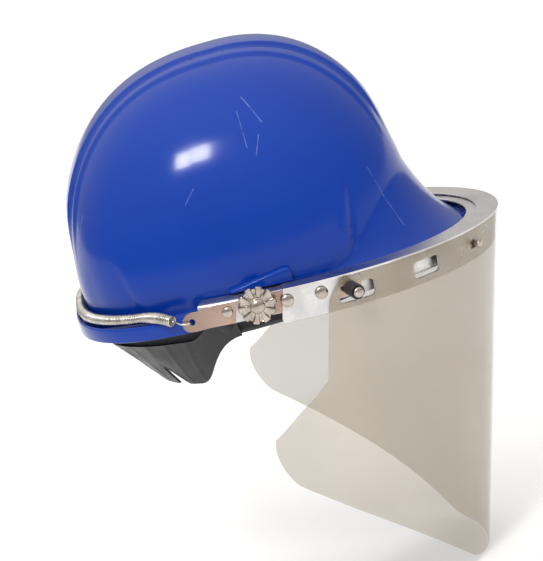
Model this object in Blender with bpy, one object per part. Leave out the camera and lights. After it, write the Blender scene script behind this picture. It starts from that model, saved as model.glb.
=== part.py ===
"""Slotted safety cap with a spring-held, lift-up face shield.

Blender script, metres, +Z up.  The wearer looks along -Y, +X is the wearer's left, and the origin
is in the brim plane on the line between the two star knobs.  The face shield bracket is built in
its own frame, whose origin is on that line, and then droops toward the front about it.
"""
import math

import bmesh
import bpy
from mathutils import Matrix, Vector

MM = 0.001

# ---------------------------------------------------------------- driving sizes
FIT_GAP = 0.3 * MM                 # gap left between pieces that touch on the real hat

# shell
APEX_Y = -15.6 * MM                 # the crown's highest point is a little ahead of the middle
SHELL_HEIGHT = 149.5 * MM            # brim plane to the crown, without the crest
WALL_HALF_WIDTH = 95 * MM
WALL_REAR = 106.6 * MM
WALL_FRONT = 118.5 * MM
SHELL_THICK = 2.6 * MM
CREST_HALF_WIDTH = 19 * MM
CREST_HEIGHT = 4 * MM
BRIM_HALF_WIDTH = 106 * MM
BRIM_REAR = 113 * MM
BILL_FRONT = 151 * MM
BRIM_TOP = 9.6 * MM                # top of the brim beside the star knobs
GUTTER_FLOOR = 6.5 * MM
LIP_WIDTH = 2.4 * MM
LIP_TOP = 9.6 * MM
BILL_JOIN_TOP = 46 * MM            # where the bill leaves the forehead of the shell
FOOT_HEIGHT = 14 * MM              # the wall is measured here where it meets the brim
GUTTER_WIDTH = 7 * MM
BILL_ARCH = 0.22                   # share of the forehead's foot height that the bill keeps
BILL_SHARE = 0.30                  # share of the bill's reach over which it leaves the forehead
REAR_TUCK = 5 * MM                 # the rear wall draws in this much just above the gutter
TUCK_TOP = 38 * MM
PAD_REAR_Y = 14 * MM               # hoods over the accessory slots, above the base frame's flange
PAD_FRONT_Y = -26 * MM
PAD_BOTTOM = 15.9 * MM             # beside the star knobs
PAD_REAR_TOP = 18.6 * MM
PAD_FRONT_TOP = 23.4 * MM
PAD_FACE_X = 99.5 * MM
PAD_BACK_X = 92.6 * MM
PAD_CHAMFER = 1.2 * MM
FRONT_SQUARENESS = 2.05            # 2 would be an ellipse
REAR_SQUARENESS = 2.6
CROWN_SQUARENESS = 2.42             # of the profile from the wall to the crown
SHELL_SEGMENTS = 64
CROWN_LEVELS = 10

# bracket plan curve: straight sides, then a half ellipse round the front
PIVOT_Z = 9.6 * MM
PITCH = math.radians(-4)           # the bill and the bracket round it droop toward the front
LEAN = math.radians(12)            # webs and window lean back this much below the flanges
RING_HALF_WIDTH = 115.4 * MM       # outer face of the carrier frame's web
RING_CENTRE_Y = -15 * MM
RING_REACH = 150 * MM
FRONT_STATIONS = 19
REAR_BEND_Y = 10 * MM              # behind the knobs the strips bend in to follow the brim
REAR_BEND_RADIUS = 110 * MM
SHEET_METAL = 1.5 * MM
FLANGE_METAL = 1.2 * MM

# fixed base frame, in the bracket's frame
BASE_OFFSET = -4.7 * MM            # outer face of its web, measured in from the carrier's
BASE_TOP = 5.0 * MM
BASE_DEPTH = 14.6 * MM
BASE_FLANGE = 14.5 * MM
BASE_END_Y = 38 * MM

# spring ears, riveted to the base frame
EAR_OFFSET = BASE_OFFSET + FIT_GAP + SHEET_METAL
EAR_HOLE_Y = 41 * MM
EAR_START_Y = 13 * MM
EAR_TOP = 3.9 * MM
EAR_BOTTOM = -9.2 * MM
EAR_HOLE_Z = -4.0 * MM
EAR_END_RADIUS = 6.2 * MM
EAR_RIVET_Y = 18.5 * MM

# lift-up carrier, in the bracket's frame
CARRIER_TOP = 6.5 * MM
CARRIER_DEPTH = 22 * MM
CARRIER_FLANGE = 13 * MM
CARRIER_LIP = 1.6 * MM             # the flange stands out past the web and covers the window's top
CARRIER_END_Y = -15.5 * MM
ARM_OFFSET = -1.8 * MM
ARM_TOP = 4.9 * MM
ARM_BOTTOM = -8.4 * MM
ARM_REAR_Y = 6.4 * MM
ARM_FRONT_Y = -67 * MM
RIVET_YS = (-19 * MM, -40 * MM)
RIVET_Z = -1.4 * MM
SLOT_HEIGHT = 11 * MM
SLOTS = ((-63.5 * MM, -6.3 * MM, 24 * MM), (-109.5 * MM, -5.6 * MM, 20.5 * MM))   # y, z, length
POST_Y = -58.5 * MM
POST_Z = -3.0 * MM
POST_RADIUS = 3.2 * MM
POST_LENGTH = 21 * MM
SLEEVE_RADIUS = 4.7 * MM
STUD_Y = -143 * MM
STUD_Z = -4.6 * MM

# window
WINDOW_THICK = 1.0 * MM
WINDOW_TOP = 5.0 * MM
WINDOW_HEIGHT = 219 * MM
WINDOW_REAR_Y = -45.5 * MM
WINDOW_CORNER = 12 * MM
WINDOW_FLAT_HALF = 50 * MM         # beyond this the bottom edge climbs
WINDOW_CLIMB = 0.65
CLIMB_ROUNDING = 10 * MM
WING_TOP = -57.5 * MM
WING_FALL = 0.78
WING_TIP_Z = -88 * MM
WING_TIP_RADIUS = 18 * MM
WING_SPAN = 33 * MM
WINDOW_COLUMNS = 30

# pivots and star knobs
BOLT_RADIUS = 2.4 * MM
BOLT_HEAD_RADIUS = 3.5 * MM
KNOB_RADIUS = 12 * MM
KNOB_THICK = 4.4 * MM
KNOB_LOBES = 10
NUT_RADIUS = 5.2 * MM

# tension spring
SPRING_RADIUS = 3.6 * MM
SPRING_INSET = 5.0 * MM            # centre line, in from the brim's outline
SPRING_Z = 13.8 * MM
HOOK_WIRE_RADIUS = 0.6 * MM

# suspension
BAND_HALF_WIDTH = 78 * MM
BAND_HALF_LENGTH = 97 * MM
BAND_CENTRE_Y = -3 * MM
BAND_TOP = 15 * MM
BAND_HEIGHT = 30 * MM
BAND_THICK = 1.6 * MM
NAPE_TILT_Y = 22 * MM
NAPE_TILT_Z = -6 * MM
NAPE_BOTTOM = -46 * MM
NAPE_END_BOTTOM = -16 * MM
NAPE_LOW_HALF_WIDTH = 67 * MM
NAPE_LOW_LENGTH = 72 * MM
NAPE_THICK = 1.8 * MM
STRAP_WIDTH = 19 * MM
STRAP_THICK = 1.3 * MM
STRAP_ANGLE = math.radians(38)     # plan angle of the four hanging points from the side axis
STRAP_CROWN_Z = 118 * MM
KEY_MIDDLE_Z = 24 * MM
KEY_HEIGHT = 20 * MM
KEY_WIDTH = 15 * MM
KEY_THICK = 4.5 * MM
KEY_LEG = 4 * MM
KEY_WALL_GAP = 3.4 * MM

# colours
SHELL_BLUE = (0.010, 0.062, 0.42)
ALUMINIUM = (0.62, 0.61, 0.58)
STEEL = (0.52, 0.49, 0.46)
DARK_PLASTIC = (0.020, 0.021, 0.023)
SOFT_GREY = (0.12, 0.12, 0.13)
WEBBING = (0.10, 0.10, 0.11)
RUBBER_BLACK = (0.012, 0.012, 0.012)
WINDOW_TINT = (0.62, 0.58, 0.50)
FIBRE = (0.20, 0.12, 0.08)


# ---------------------------------------------------------------- general helpers
def clear_scene():
    for item in list(bpy.data.objects):
        bpy.data.objects.remove(item, do_unlink=True)


def make_material(name, colour, roughness, metallic=0.0):
    material = bpy.data.materials.new(name)
    material.use_nodes = True
    shader = material.node_tree.nodes["Principled BSDF"]
    shader.inputs["Base Color"].default_value = (*colour, 1.0)
    shader.inputs["Roughness"].default_value = roughness
    shader.inputs["Metallic"].default_value = metallic
    return material


def add_object(name, vertices, faces, look, smooth=True):
    """Make one named object; look is (colour, roughness, metallic)."""
    mesh = bpy.data.meshes.new(name)
    mesh.from_pydata([tuple(vertex) for vertex in vertices], [], faces)
    work = bmesh.new()
    work.from_mesh(mesh)
    bmesh.ops.recalc_face_normals(work, faces=work.faces)
    work.to_mesh(mesh)
    work.free()
    for polygon in mesh.polygons:
        polygon.use_smooth = smooth
    mesh.materials.append(make_material(name, *look))
    item = bpy.data.objects.new(name, mesh)
    bpy.context.scene.collection.objects.link(item)
    return item


def loft(rings, closed=False):
    """Skin a list of equal rings; an open loft gets a cap on both ends."""
    count = len(rings[0])
    vertices = [point for ring in rings for point in ring]
    faces = []
    steps = len(rings) if closed else len(rings) - 1
    for level in range(steps):
        here = level * count
        above = ((level + 1) % len(rings)) * count
        for side in range(count):
            after = (side + 1) % count
            faces.append((here + side, here + after, above + after, above + side))
    if not closed:
        last = (len(rings) - 1) * count
        faces.append(tuple(range(count))[::-1])
        faces.append(tuple(range(last, last + count)))
    return vertices, faces


def circle(centre, axis_u, axis_v, radius, count):
    """Points of a circle in the plane of two unit vectors."""
    points = []
    for index in range(count):
        angle = math.tau * index / count
        points.append(centre + axis_u * (radius * math.cos(angle)) + axis_v * (radius * math.sin(angle)))
    return points


def turned(centre, axis, profile, count=20):
    """Solid of revolution: profile is (distance along axis, radius) pairs from end to end."""
    axis = axis.normalized()
    helper = Vector((0, 0, 1)) if abs(axis.z) < 0.9 else Vector((0, 1, 0))
    axis_u = axis.cross(helper).normalized()
    axis_v = axis.cross(axis_u)
    return loft([circle(centre + axis * along, axis_u, axis_v, radius, count) for along, radius in profile])


def turned_ring(centre, axis, profile, count=20):
    """Ring of revolution: profile is a closed loop of (distance along axis, radius) pairs."""
    axis = axis.normalized()
    helper = Vector((0, 0, 1)) if abs(axis.z) < 0.9 else Vector((0, 1, 0))
    axis_u = axis.cross(helper).normalized()
    axis_v = axis.cross(axis_u)
    rings = [circle(centre + axis * along, axis_u, axis_v, radius, count) for along, radius in profile]
    return loft(rings, closed=True)


def join_shapes(shapes):
    """Put several (vertices, faces) shapes in one list, for a cutter with several holes."""
    vertices = []
    faces = []
    for shape_vertices, shape_faces in shapes:
        start = len(vertices)
        vertices.extend(shape_vertices)
        faces.extend(tuple(start + index for index in face) for face in shape_faces)
    return vertices, faces


def add_boolean(item, tool, operation):
    modifier = item.modifiers.new(operation.lower() + "_" + tool.name, "BOOLEAN")
    modifier.operation = operation
    modifier.solver = "EXACT"
    modifier.object = tool


def cut(item, tool):
    add_boolean(item, tool, "DIFFERENCE")


def join(item, tool):
    add_boolean(item, tool, "UNION")


def add_tool(name, shapes):
    """A hidden shape used only by Boolean modifiers."""
    tool = add_object(name, *join_shapes(shapes), (STEEL, 0.5, 0.0))
    tool.hide_render = True
    tool.display_type = "WIRE"
    return tool


def smooth_step(low, high, value):
    ratio = min(1.0, max(0.0, (value - low) / (high - low)))
    return ratio * ratio * (3 - 2 * ratio)


def side_name(side):
    """The wearer's left is +X, the wearer's right is -X."""
    return "left" if side > 0 else "right"


# ---------------------------------------------------------------- shell
def oval_radius(angle, half_width, front, rear):
    """Plan radius of an oval about the apex line; angle 0 is +X and 90 degrees is the rear."""
    reach = rear if math.sin(angle) > 0 else front
    power = REAR_SQUARENESS if math.sin(angle) > 0 else FRONT_SQUARENESS
    across = abs(math.cos(angle) / half_width) ** power
    along = abs(math.sin(angle) / reach) ** power
    return (across + along) ** (-1 / power)


def wall_radius(angle, height):
    """Plan radius of the shell's outer wall at a height above the brim plane."""
    radius = oval_radius(angle, WALL_HALF_WIDTH, WALL_FRONT + APEX_Y, WALL_REAR - APEX_Y)
    rearward = math.sin(angle)
    ratio = min(1.0, height / SHELL_HEIGHT)
    radius *= (1 - ratio ** CROWN_SQUARENESS) ** (1 / CROWN_SQUARENESS)
    tuck = max(0.0, 1 - height / TUCK_TOP) ** 2
    return radius - REAR_TUCK * tuck * smooth_step(0.1, 0.9, rearward)


def brim_radius(angle):
    return oval_radius(angle, BRIM_HALF_WIDTH, BILL_FRONT + APEX_Y, BRIM_REAR - APEX_Y)


def shell_point(angle, radius, height):
    return Vector((radius * math.cos(angle), APEX_Y + radius * math.sin(angle), height))


def crest_rise(x):
    """Height of the crest's raised band above the plain crown."""
    return CREST_HEIGHT * (1 - smooth_step(0.72, 1.0, abs(x) / CREST_HALF_WIDTH))


def crown_ring(level_angle, inward, with_crest):
    """One level of the crown; level_angle runs from just above the wall foot to the apex."""
    ring = []
    for index in range(SHELL_SEGMENTS):
        angle = math.tau * index / SHELL_SEGMENTS
        foot = wall_foot(angle)
        height = foot + (SHELL_HEIGHT - foot) * math.sin(level_angle) ** 0.9
        radius = max(4 * MM, wall_radius(angle, height) - inward)
        point = shell_point(angle, radius, height - inward)
        if with_crest:
            point.z += crest_rise(point.x) * smooth_step(60 * MM, 120 * MM, height)
        ring.append(point)
    return ring


def wall_foot(angle):
    """Height at which the wall meets the gutter, or the bill at the front."""
    frontness = smooth_step(0.35, 1.0, -math.sin(angle))
    return BRIM_TOP + 2.5 * MM + (BILL_JOIN_TOP - BRIM_TOP) * frontness


def brim_top(angle):
    """Height of the brim's top edge, following the bracket's pitch forward of the knobs."""
    y = APEX_Y + brim_radius(angle) * math.sin(angle)
    return BRIM_TOP + max(0.0, -y) * math.tan(PITCH)


def brim_ring(reach_back, height_function, drop=0.0):
    """One ring along the brim, set in from its outline and down from a height."""
    ring = []
    for index in range(SHELL_SEGMENTS):
        angle = math.tau * index / SHELL_SEGMENTS
        radius = brim_radius(angle) - reach_back
        ring.append(shell_point(angle, radius, height_function(angle) - drop))
    return ring


def rearness(angle):
    """1 round the rear, where the brim holds a gutter, and 0 beside the knobs and in front."""
    return smooth_step(0.25, 0.6, math.sin(angle))


def billness(angle):
    """1 round the front, where the brim becomes the bill."""
    return smooth_step(0.2, 0.8, -math.sin(angle))


def floor_height(angle):
    return brim_top(angle) - (BRIM_TOP - GUTTER_FLOOR) * rearness(angle)


def lip_height(angle):
    return brim_top(angle) + (LIP_TOP - BRIM_TOP) * rearness(angle)


def bottom_height(angle):
    return (brim_top(angle) - BRIM_TOP) * billness(angle)


def foot_ring(inward, drop):
    """Where the wall meets the gutter, or the arched bill at the front."""
    ring = []
    for index in range(SHELL_SEGMENTS):
        angle = math.tau * index / SHELL_SEGMENTS
        outline = brim_radius(angle)
        radius = min(wall_radius(angle, FOOT_HEIGHT), outline - GUTTER_WIDTH)
        arch = BILL_ARCH * (wall_foot(angle) - brim_top(angle)) * billness(angle)
        radius += (outline - radius) * BILL_SHARE * billness(angle) - inward
        height = floor_height(angle) + arch - drop
        ring.append(shell_point(angle, radius, height))
    return ring


def make_shell():
    low_levels = [0.0, math.radians(3)]
    levels = [math.radians(90 * index / CROWN_LEVELS) for index in range(1, CROWN_LEVELS)]
    levels = low_levels + levels + [math.radians(88.5)]
    outer = [crown_ring(level, 0.0, True) for level in reversed(levels)]
    outer.append(foot_ring(-0.6 * MM, 0.0))
    outer.append(brim_ring(LIP_WIDTH + 0.8 * MM, floor_height))
    outer.append(brim_ring(LIP_WIDTH - 0.3 * MM, lip_height))
    outer.append(brim_ring(0.3 * MM, lip_height, 0.4 * MM))
    outer.append(brim_ring(0.0, lip_height, 1.6 * MM))
    outer.append(brim_ring(0.0, bottom_height))
    inner = [brim_ring(LIP_WIDTH, bottom_height)]
    inner.append(brim_ring(LIP_WIDTH + 1.2 * MM, floor_height, SHELL_THICK))
    inner.append(foot_ring(SHELL_THICK - 0.6 * MM, SHELL_THICK))
    inner.extend(crown_ring(level, SHELL_THICK, False) for level in low_levels[1:] + levels[2::2])
    shell = add_object("shell", *loft(outer + inner), (SHELL_BLUE, 0.18, 0.0))
    join(shell, add_tool("slot_pads", [pad_block(side) for side in (-1, 1)]))
    return shell


def pad_block(side):
    """Hood over an accessory slot: it rises toward the front, and its outer face is flat and square to X."""
    rings = []
    for x, inset in ((PAD_BACK_X, 0.0), (PAD_FACE_X - 2 * MM, 0.0), (PAD_FACE_X, PAD_CHAMFER)):
        rear = PAD_REAR_Y - inset
        front = PAD_FRONT_Y + inset
        corners = ((front, PAD_BOTTOM - front * math.tan(PITCH)), (rear, PAD_BOTTOM - rear * math.tan(PITCH)),
                   (rear, PAD_REAR_TOP - inset), (front, PAD_FRONT_TOP - inset))
        rings.append([Vector((side * x, y, z)) for y, z in corners])
    return loft(rings)


# ---------------------------------------------------------------- bracket plan curve
def ring_frame(run, offset=0.0):
    """Plan point and outward normal of the bracket at a distance along its outer curve.

    run is measured from the front centre, positive toward the wearer's left.
    """
    side = 1 if run >= 0 else -1
    distance = abs(run)
    bend_start = RING_TABLE[-1][0] + REAR_BEND_Y - RING_CENTRE_Y
    if distance >= bend_start:
        turn = (distance - bend_start) / REAR_BEND_RADIUS
        normal = Vector((math.cos(turn), math.sin(turn)))
        point = Vector((RING_HALF_WIDTH - REAR_BEND_RADIUS, REAR_BEND_Y)) + normal * REAR_BEND_RADIUS
    elif distance >= RING_TABLE[-1][0]:
        point = Vector((RING_HALF_WIDTH, RING_CENTRE_Y + distance - RING_TABLE[-1][0]))
        normal = Vector((1, 0))
    else:
        index = next(i for i in range(1, len(RING_TABLE)) if RING_TABLE[i][0] > distance)
        low, high = RING_TABLE[index - 1], RING_TABLE[index]
        ratio = (distance - low[0]) / (high[0] - low[0])
        angle = low[1] + (high[1] - low[1]) * ratio
        point = Vector((RING_HALF_WIDTH * math.sin(angle), RING_CENTRE_Y - RING_REACH * math.cos(angle)))
        normal = Vector((RING_REACH * math.sin(angle), -RING_HALF_WIDTH * math.cos(angle))).normalized()
    point += normal * offset
    return Vector((side * point.x, point.y)), Vector((side * normal.x, normal.y))


def ring_arc_table(steps=240):
    """Arc length against ellipse angle, from the front centre to the widest point."""
    table = [(0.0, 0.0)]
    for index in range(1, steps + 1):
        angle = math.pi / 2 * index / steps
        middle = angle - math.pi / 4 / steps
        speed = math.hypot(RING_HALF_WIDTH * math.cos(middle), RING_REACH * math.sin(middle))
        table.append((table[-1][0] + speed * math.pi / 2 / steps, angle))
    return table


RING_TABLE = ring_arc_table()


def run_at(y, side=1):
    """Distance along the outer curve at which it passes a y value."""
    if y >= REAR_BEND_Y:
        bend = math.asin((y - REAR_BEND_Y) / REAR_BEND_RADIUS) * REAR_BEND_RADIUS
        return side * (RING_TABLE[-1][0] + REAR_BEND_Y - RING_CENTRE_Y + bend)
    if y >= RING_CENTRE_Y:
        return side * (RING_TABLE[-1][0] + y - RING_CENTRE_Y)
    angle = math.acos((RING_CENTRE_Y - y) / RING_REACH)
    index = min(len(RING_TABLE) - 1, round(angle / (math.pi / 2) * (len(RING_TABLE) - 1)))
    return side * RING_TABLE[index][0]


def bracket_point(run, offset, height):
    """A point of the bracket: along the curve, out from it, and above the pivot axis."""
    plan, _ = ring_frame(run, offset)
    return Vector((plan.x, plan.y - height * math.tan(LEAN), height))


def bracket_normal(run):
    _, normal = ring_frame(run)
    return Vector((normal.x, normal.y, 0))


def bracket_sweep(runs, section):
    """Sweep a section of (offset, height) points along the bracket's curve."""
    return loft([[bracket_point(run, offset, height) for offset, height in section] for run in runs])


def even_runs(start, end, count):
    return [start + (end - start) * index / (count - 1) for index in range(count)]


def frame_runs(end_y):
    """Stations round the whole bracket, from one rear end to the other."""
    half = even_runs(0.0, run_at(min(end_y, RING_CENTRE_Y)), FRONT_STATIONS)
    if end_y > REAR_BEND_Y:
        half += even_runs(run_at(REAR_BEND_Y), run_at(end_y), 4)
    return [-run for run in reversed(half[1:])] + half


def place_on_bracket(item):
    """Bracket pieces are built about the pivot line, so they are pitched and raised to it."""
    item.location = (0, 0, PIVOT_Z)
    item.rotation_euler = (-PITCH, 0, 0)
    return item


def bracket_slot(run, height, length, tall, reach):
    """A cutter with round ends through the web, square to the sheet."""
    centre = bracket_point(run, 0.0, height)
    normal = bracket_normal(run)
    along = Vector((-normal.y, normal.x, 0))
    up = Vector((0, 0, 1))
    radius = tall / 2
    outline = []
    for index in range(12):
        angle = -math.pi / 2 + math.pi * (index % 6) / 5
        shift = length / 2 - radius
        turn = 1 if index < 6 else -1
        outline.append(along * turn * (shift + radius * math.cos(angle)) + up * turn * radius * math.sin(angle))
    rings = [[centre + point + normal * depth for point in outline] for depth in (-reach, reach)]
    return loft(rings)


def bracket_pin(run, height, profile, count=16):
    """A turned piece whose axis is square to the bracket; profile is measured from the curve."""
    return turned(bracket_point(run, 0.0, height), bracket_normal(run), profile, count)


# ---------------------------------------------------------------- base frame, ears and spring
def make_base_frame():
    inner = BASE_OFFSET - SHEET_METAL
    section = [
        (BASE_OFFSET, BASE_TOP),
        (BASE_OFFSET, BASE_TOP - BASE_DEPTH),
        (inner, BASE_TOP - BASE_DEPTH),
        (inner, BASE_TOP - FLANGE_METAL),
        (BASE_OFFSET - BASE_FLANGE, BASE_TOP - FLANGE_METAL),
        (BASE_OFFSET - BASE_FLANGE, BASE_TOP),
    ]
    return place_on_bracket(add_object(
        "base_frame", *bracket_sweep(frame_runs(BASE_END_Y), section), (ALUMINIUM, 0.3, 1.0)))


def make_ear(side):
    """Plate that carries the spring hook, following the base frame, with a round rear end."""
    rings = []
    stations = [EAR_START_Y + (EAR_HOLE_Y - EAR_START_Y) * index / 5 for index in range(6)]
    stations += [EAR_HOLE_Y + EAR_END_RADIUS * part for part in (0.35, 0.65, 0.88, 0.99)]
    for y in stations:
        taper = smooth_step(EAR_HOLE_Y - 14 * MM, EAR_HOLE_Y - 2 * MM, y)
        top = EAR_TOP + (EAR_HOLE_Z + EAR_END_RADIUS - EAR_TOP) * taper
        bottom = EAR_BOTTOM + (EAR_HOLE_Z - EAR_END_RADIUS - EAR_BOTTOM) * taper
        if y > EAR_HOLE_Y:
            half = math.sqrt(EAR_END_RADIUS ** 2 - (y - EAR_HOLE_Y) ** 2)
            top = EAR_HOLE_Z + half
            bottom = EAR_HOLE_Z - half
        run = run_at(y, side)
        rings.append([bracket_point(run, offset, height) for offset, height in (
            (EAR_OFFSET, top), (EAR_OFFSET, bottom),
            (EAR_OFFSET - SHEET_METAL, bottom), (EAR_OFFSET - SHEET_METAL, top))])
    return place_on_bracket(add_object("spring_ear_" + side_name(side), *loft(rings), (STEEL, 0.3, 1.0)))


def make_ear_rivet(side):
    face = EAR_OFFSET + FIT_GAP
    back = BASE_OFFSET - SHEET_METAL - FIT_GAP
    profile = [(back - 0.8 * MM, 2.6 * MM), (back, 2.6 * MM), (back, 1.4 * MM), (face, 1.4 * MM),
               (face, 3.6 * MM), (face + 1.1 * MM, 3.0 * MM), (face + 1.8 * MM, 1.6 * MM)]
    shape = bracket_pin(run_at(EAR_RIVET_Y, side), RIVET_Z, profile)
    return place_on_bracket(add_object("ear_rivet_" + side_name(side), *shape, (STEEL, 0.25, 1.0)))


def spring_route():
    """Centre line on the wearer's left, from the rear centre round to the ear: the gutter, then
    over the brim's lip and down to the ear."""
    route = []
    for index in range(10):
        angle = math.radians(90 - 5 * index)
        route.append(shell_point(angle, brim_radius(angle) - SPRING_INSET, SPRING_Z))
    route += [Vector(point) * MM for point in ((93.5, 62.5, 14.0), (100.5, 57.0, 13.2), (104.6, 52.8, 11.6))]
    return route


def hook_route():
    """Centre line of the end hook on the wearer's left, from the spring's end through the ear."""
    return [Vector(point) * MM for point in ((105.4, 51.4, 11.0), (109.6, 48.4, 9.6), (110.6, 45.0, 8.8),
                                             (108.9, 42.4, 8.5), (104.5, 41.2, 8.5))]


def mirrored(points):
    return [Vector((-point.x, point.y, point.z)) for point in points]


def make_spring():
    body = spring_route()
    hook = hook_route()
    left = body + hook
    route = mirrored(left)[::-1] + left[1:]
    left_radii = [SPRING_RADIUS] * len(body) + [HOOK_WIRE_RADIUS] * len(hook)
    radii = left_radii[::-1] + left_radii[1:]
    rings = []
    for index, point in enumerate(route):
        before = route[max(0, index - 1)]
        after = route[min(len(route) - 1, index + 1)]
        direction = (after - before).normalized()
        axis_u = direction.cross(Vector((0, 0, 1))).normalized()
        axis_v = direction.cross(axis_u)
        rings.append(circle(point, axis_u, axis_v, radii[index], 10))
    return add_object("tension_spring", *loft(rings), (STEEL, 0.3, 1.0))


# ---------------------------------------------------------------- carrier and window
def make_carrier_frame():
    section = [
        (CARRIER_LIP, CARRIER_TOP),
        (CARRIER_LIP, CARRIER_TOP - FLANGE_METAL),
        (0.0, CARRIER_TOP - FLANGE_METAL),
        (0.0, CARRIER_TOP - CARRIER_DEPTH),
        (-SHEET_METAL, CARRIER_TOP - CARRIER_DEPTH),
        (-SHEET_METAL, CARRIER_TOP - FLANGE_METAL),
        (-CARRIER_FLANGE, CARRIER_TOP - FLANGE_METAL),
        (-CARRIER_FLANGE, CARRIER_TOP),
    ]
    return place_on_bracket(add_object(
        "carrier_frame", *bracket_sweep(frame_runs(CARRIER_END_Y), section), (ALUMINIUM, 0.32, 1.0)))


def make_arm(side):
    """Inner strip that joins the carrier to its pivot."""
    start = run_at(ARM_REAR_Y, side)
    end = run_at(ARM_FRONT_Y, side)
    section = [
        (ARM_OFFSET, ARM_TOP),
        (ARM_OFFSET, ARM_BOTTOM),
        (ARM_OFFSET - SHEET_METAL, ARM_BOTTOM),
        (ARM_OFFSET - SHEET_METAL, ARM_TOP),
    ]
    return place_on_bracket(add_object(
        "carrier_arm_" + side_name(side), *bracket_sweep(even_runs(start, end, 9), section), (STEEL, 0.3, 1.0)))


def window_limits(run):
    """Top and bottom of the window at a distance along the curve from the front centre."""
    distance = abs(run)
    rear = run_at(WINDOW_REAR_Y)
    top = WINDOW_TOP
    if distance > rear - WINDOW_CORNER:
        into = min(1.0, (distance - rear + WINDOW_CORNER) / WINDOW_CORNER)
        top -= WINDOW_CORNER * 1.6 * (1 - math.sqrt(1 - into * into))
    if distance > rear:
        top = WING_TOP - WING_FALL * (distance - rear) - 2 * MM * smooth_step(0, 8 * MM, distance - rear)
    past = distance - WINDOW_FLAT_HALF
    climb = (past + math.hypot(past, CLIMB_ROUNDING)) / 2
    bottom = WINDOW_TOP - WINDOW_HEIGHT + WINDOW_CLIMB * climb
    tip = rear + WING_SPAN
    if distance > tip - WING_TIP_RADIUS:
        into = min(1.0, (distance - tip + WING_TIP_RADIUS) / WING_TIP_RADIUS)
        closing = 1 - math.sqrt(1 - into * into)
        bottom += (WING_TIP_Z - 2 * MM - bottom) * closing
        top += (WING_TIP_Z + 2 * MM - top) * closing
    return top, bottom


def make_window():
    rear = run_at(WINDOW_REAR_Y)
    half = even_runs(0.0, rear - WINDOW_CORNER, WINDOW_COLUMNS // 2)
    half += [rear - 7 * MM, rear - 3 * MM, rear - 0.6 * MM, rear, rear + 0.4 * MM]
    half += [rear + WING_SPAN * part for part in (0.08, 0.2, 0.4, 0.62, 0.78, 0.9, 0.97, 1.0)]
    runs = [-run for run in reversed(half[1:])] + half
    low = FIT_GAP
    high = FIT_GAP + WINDOW_THICK
    rings = []
    for run in runs:
        top, bottom = window_limits(run)
        rings.append([bracket_point(run, offset, height)
                      for offset, height in ((low, top), (high, top), (high, bottom), (low, bottom))])
    return place_on_bracket(add_object("visor_window", *loft(rings), (WINDOW_TINT, 0.08, 0.0)))


def make_carrier_rivet(side, number, y):
    run = run_at(y, side)
    profile = [(-2 * SHEET_METAL - 2 * FIT_GAP, 1.5 * MM), (FIT_GAP, 1.5 * MM), (FIT_GAP, 4.2 * MM),
               (1.5 * MM, 3.6 * MM), (2.3 * MM, 2.0 * MM)]
    shape = bracket_pin(run, RIVET_Z, profile)
    name = "carrier_rivet_%s_%d" % (side_name(side), number)
    return place_on_bracket(add_object(name, *shape, (STEEL, 0.25, 1.0)))


def make_post(side):
    """Window post: a foot on the arm, a plain shank through the slot and a flat end."""
    run = run_at(POST_Y, side)
    foot = ARM_OFFSET + FIT_GAP
    profile = [(foot, POST_RADIUS), (POST_LENGTH - 0.8 * MM, POST_RADIUS), (POST_LENGTH, POST_RADIUS - 0.8 * MM)]
    shape = bracket_pin(run, POST_Z, profile)
    return place_on_bracket(add_object("window_post_" + side_name(side), *shape, (STEEL, 0.2, 1.0)))


def make_sleeve(side):
    run = run_at(POST_Y, side)
    bore = POST_RADIUS + 0.2 * MM
    start = 2.0 * MM
    end = POST_LENGTH - 3.5 * MM
    profile = [(start, bore), (start, SLEEVE_RADIUS), (end, SLEEVE_RADIUS), (end, bore)]
    shape = turned_ring(bracket_point(run, 0.0, POST_Z), bracket_normal(run), profile, 16)
    return place_on_bracket(add_object("post_sleeve_" + side_name(side), *shape, (RUBBER_BLACK, 0.5, 0.0)))


def make_stud(side):
    """Headed stud that the window's front slots hook over."""
    run = run_at(STUD_Y, side)
    foot = -SHEET_METAL - 1.0 * MM
    profile = [(foot - 0.8 * MM, 3.0 * MM), (foot, 3.0 * MM), (foot, 1.6 * MM),
               (3.2 * MM, 1.6 * MM), (3.2 * MM, 2.9 * MM), (5.2 * MM, 2.6 * MM)]
    shape = bracket_pin(run, STUD_Z, profile)
    return place_on_bracket(add_object("front_stud_" + side_name(side), *shape, (STEEL, 0.25, 1.0)))


# ---------------------------------------------------------------- pivots and star knobs
def make_pivot_bolt(side):
    base_inner = RING_HALF_WIDTH + BASE_OFFSET - SHEET_METAL
    knob_outer = knob_back_x() + KNOB_THICK
    profile = [(base_inner - 1.5 * MM, BOLT_HEAD_RADIUS), (base_inner - 0.2 * MM, BOLT_HEAD_RADIUS),
               (base_inner - 0.2 * MM, BOLT_RADIUS), (knob_outer - 0.2 * MM, BOLT_RADIUS)]
    shape = turned(Vector((0, 0, 0)), Vector((side, 0, 0)), profile, 16)
    return place_on_bracket(add_object("pivot_bolt_" + side_name(side), *shape, (STEEL, 0.3, 1.0)))


def knob_back_x():
    """The knob bears on the arm, whose outer face is at this distance from the middle."""
    return RING_HALF_WIDTH + ARM_OFFSET + FIT_GAP


def washer_shape(side, start, thick, radius):
    bore = BOLT_RADIUS + 0.3 * MM
    profile = [(start, bore), (start, radius), (start + thick, radius), (start + thick, bore)]
    return turned_ring(Vector((0, 0, 0)), Vector((side, 0, 0)), profile, 20)


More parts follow.
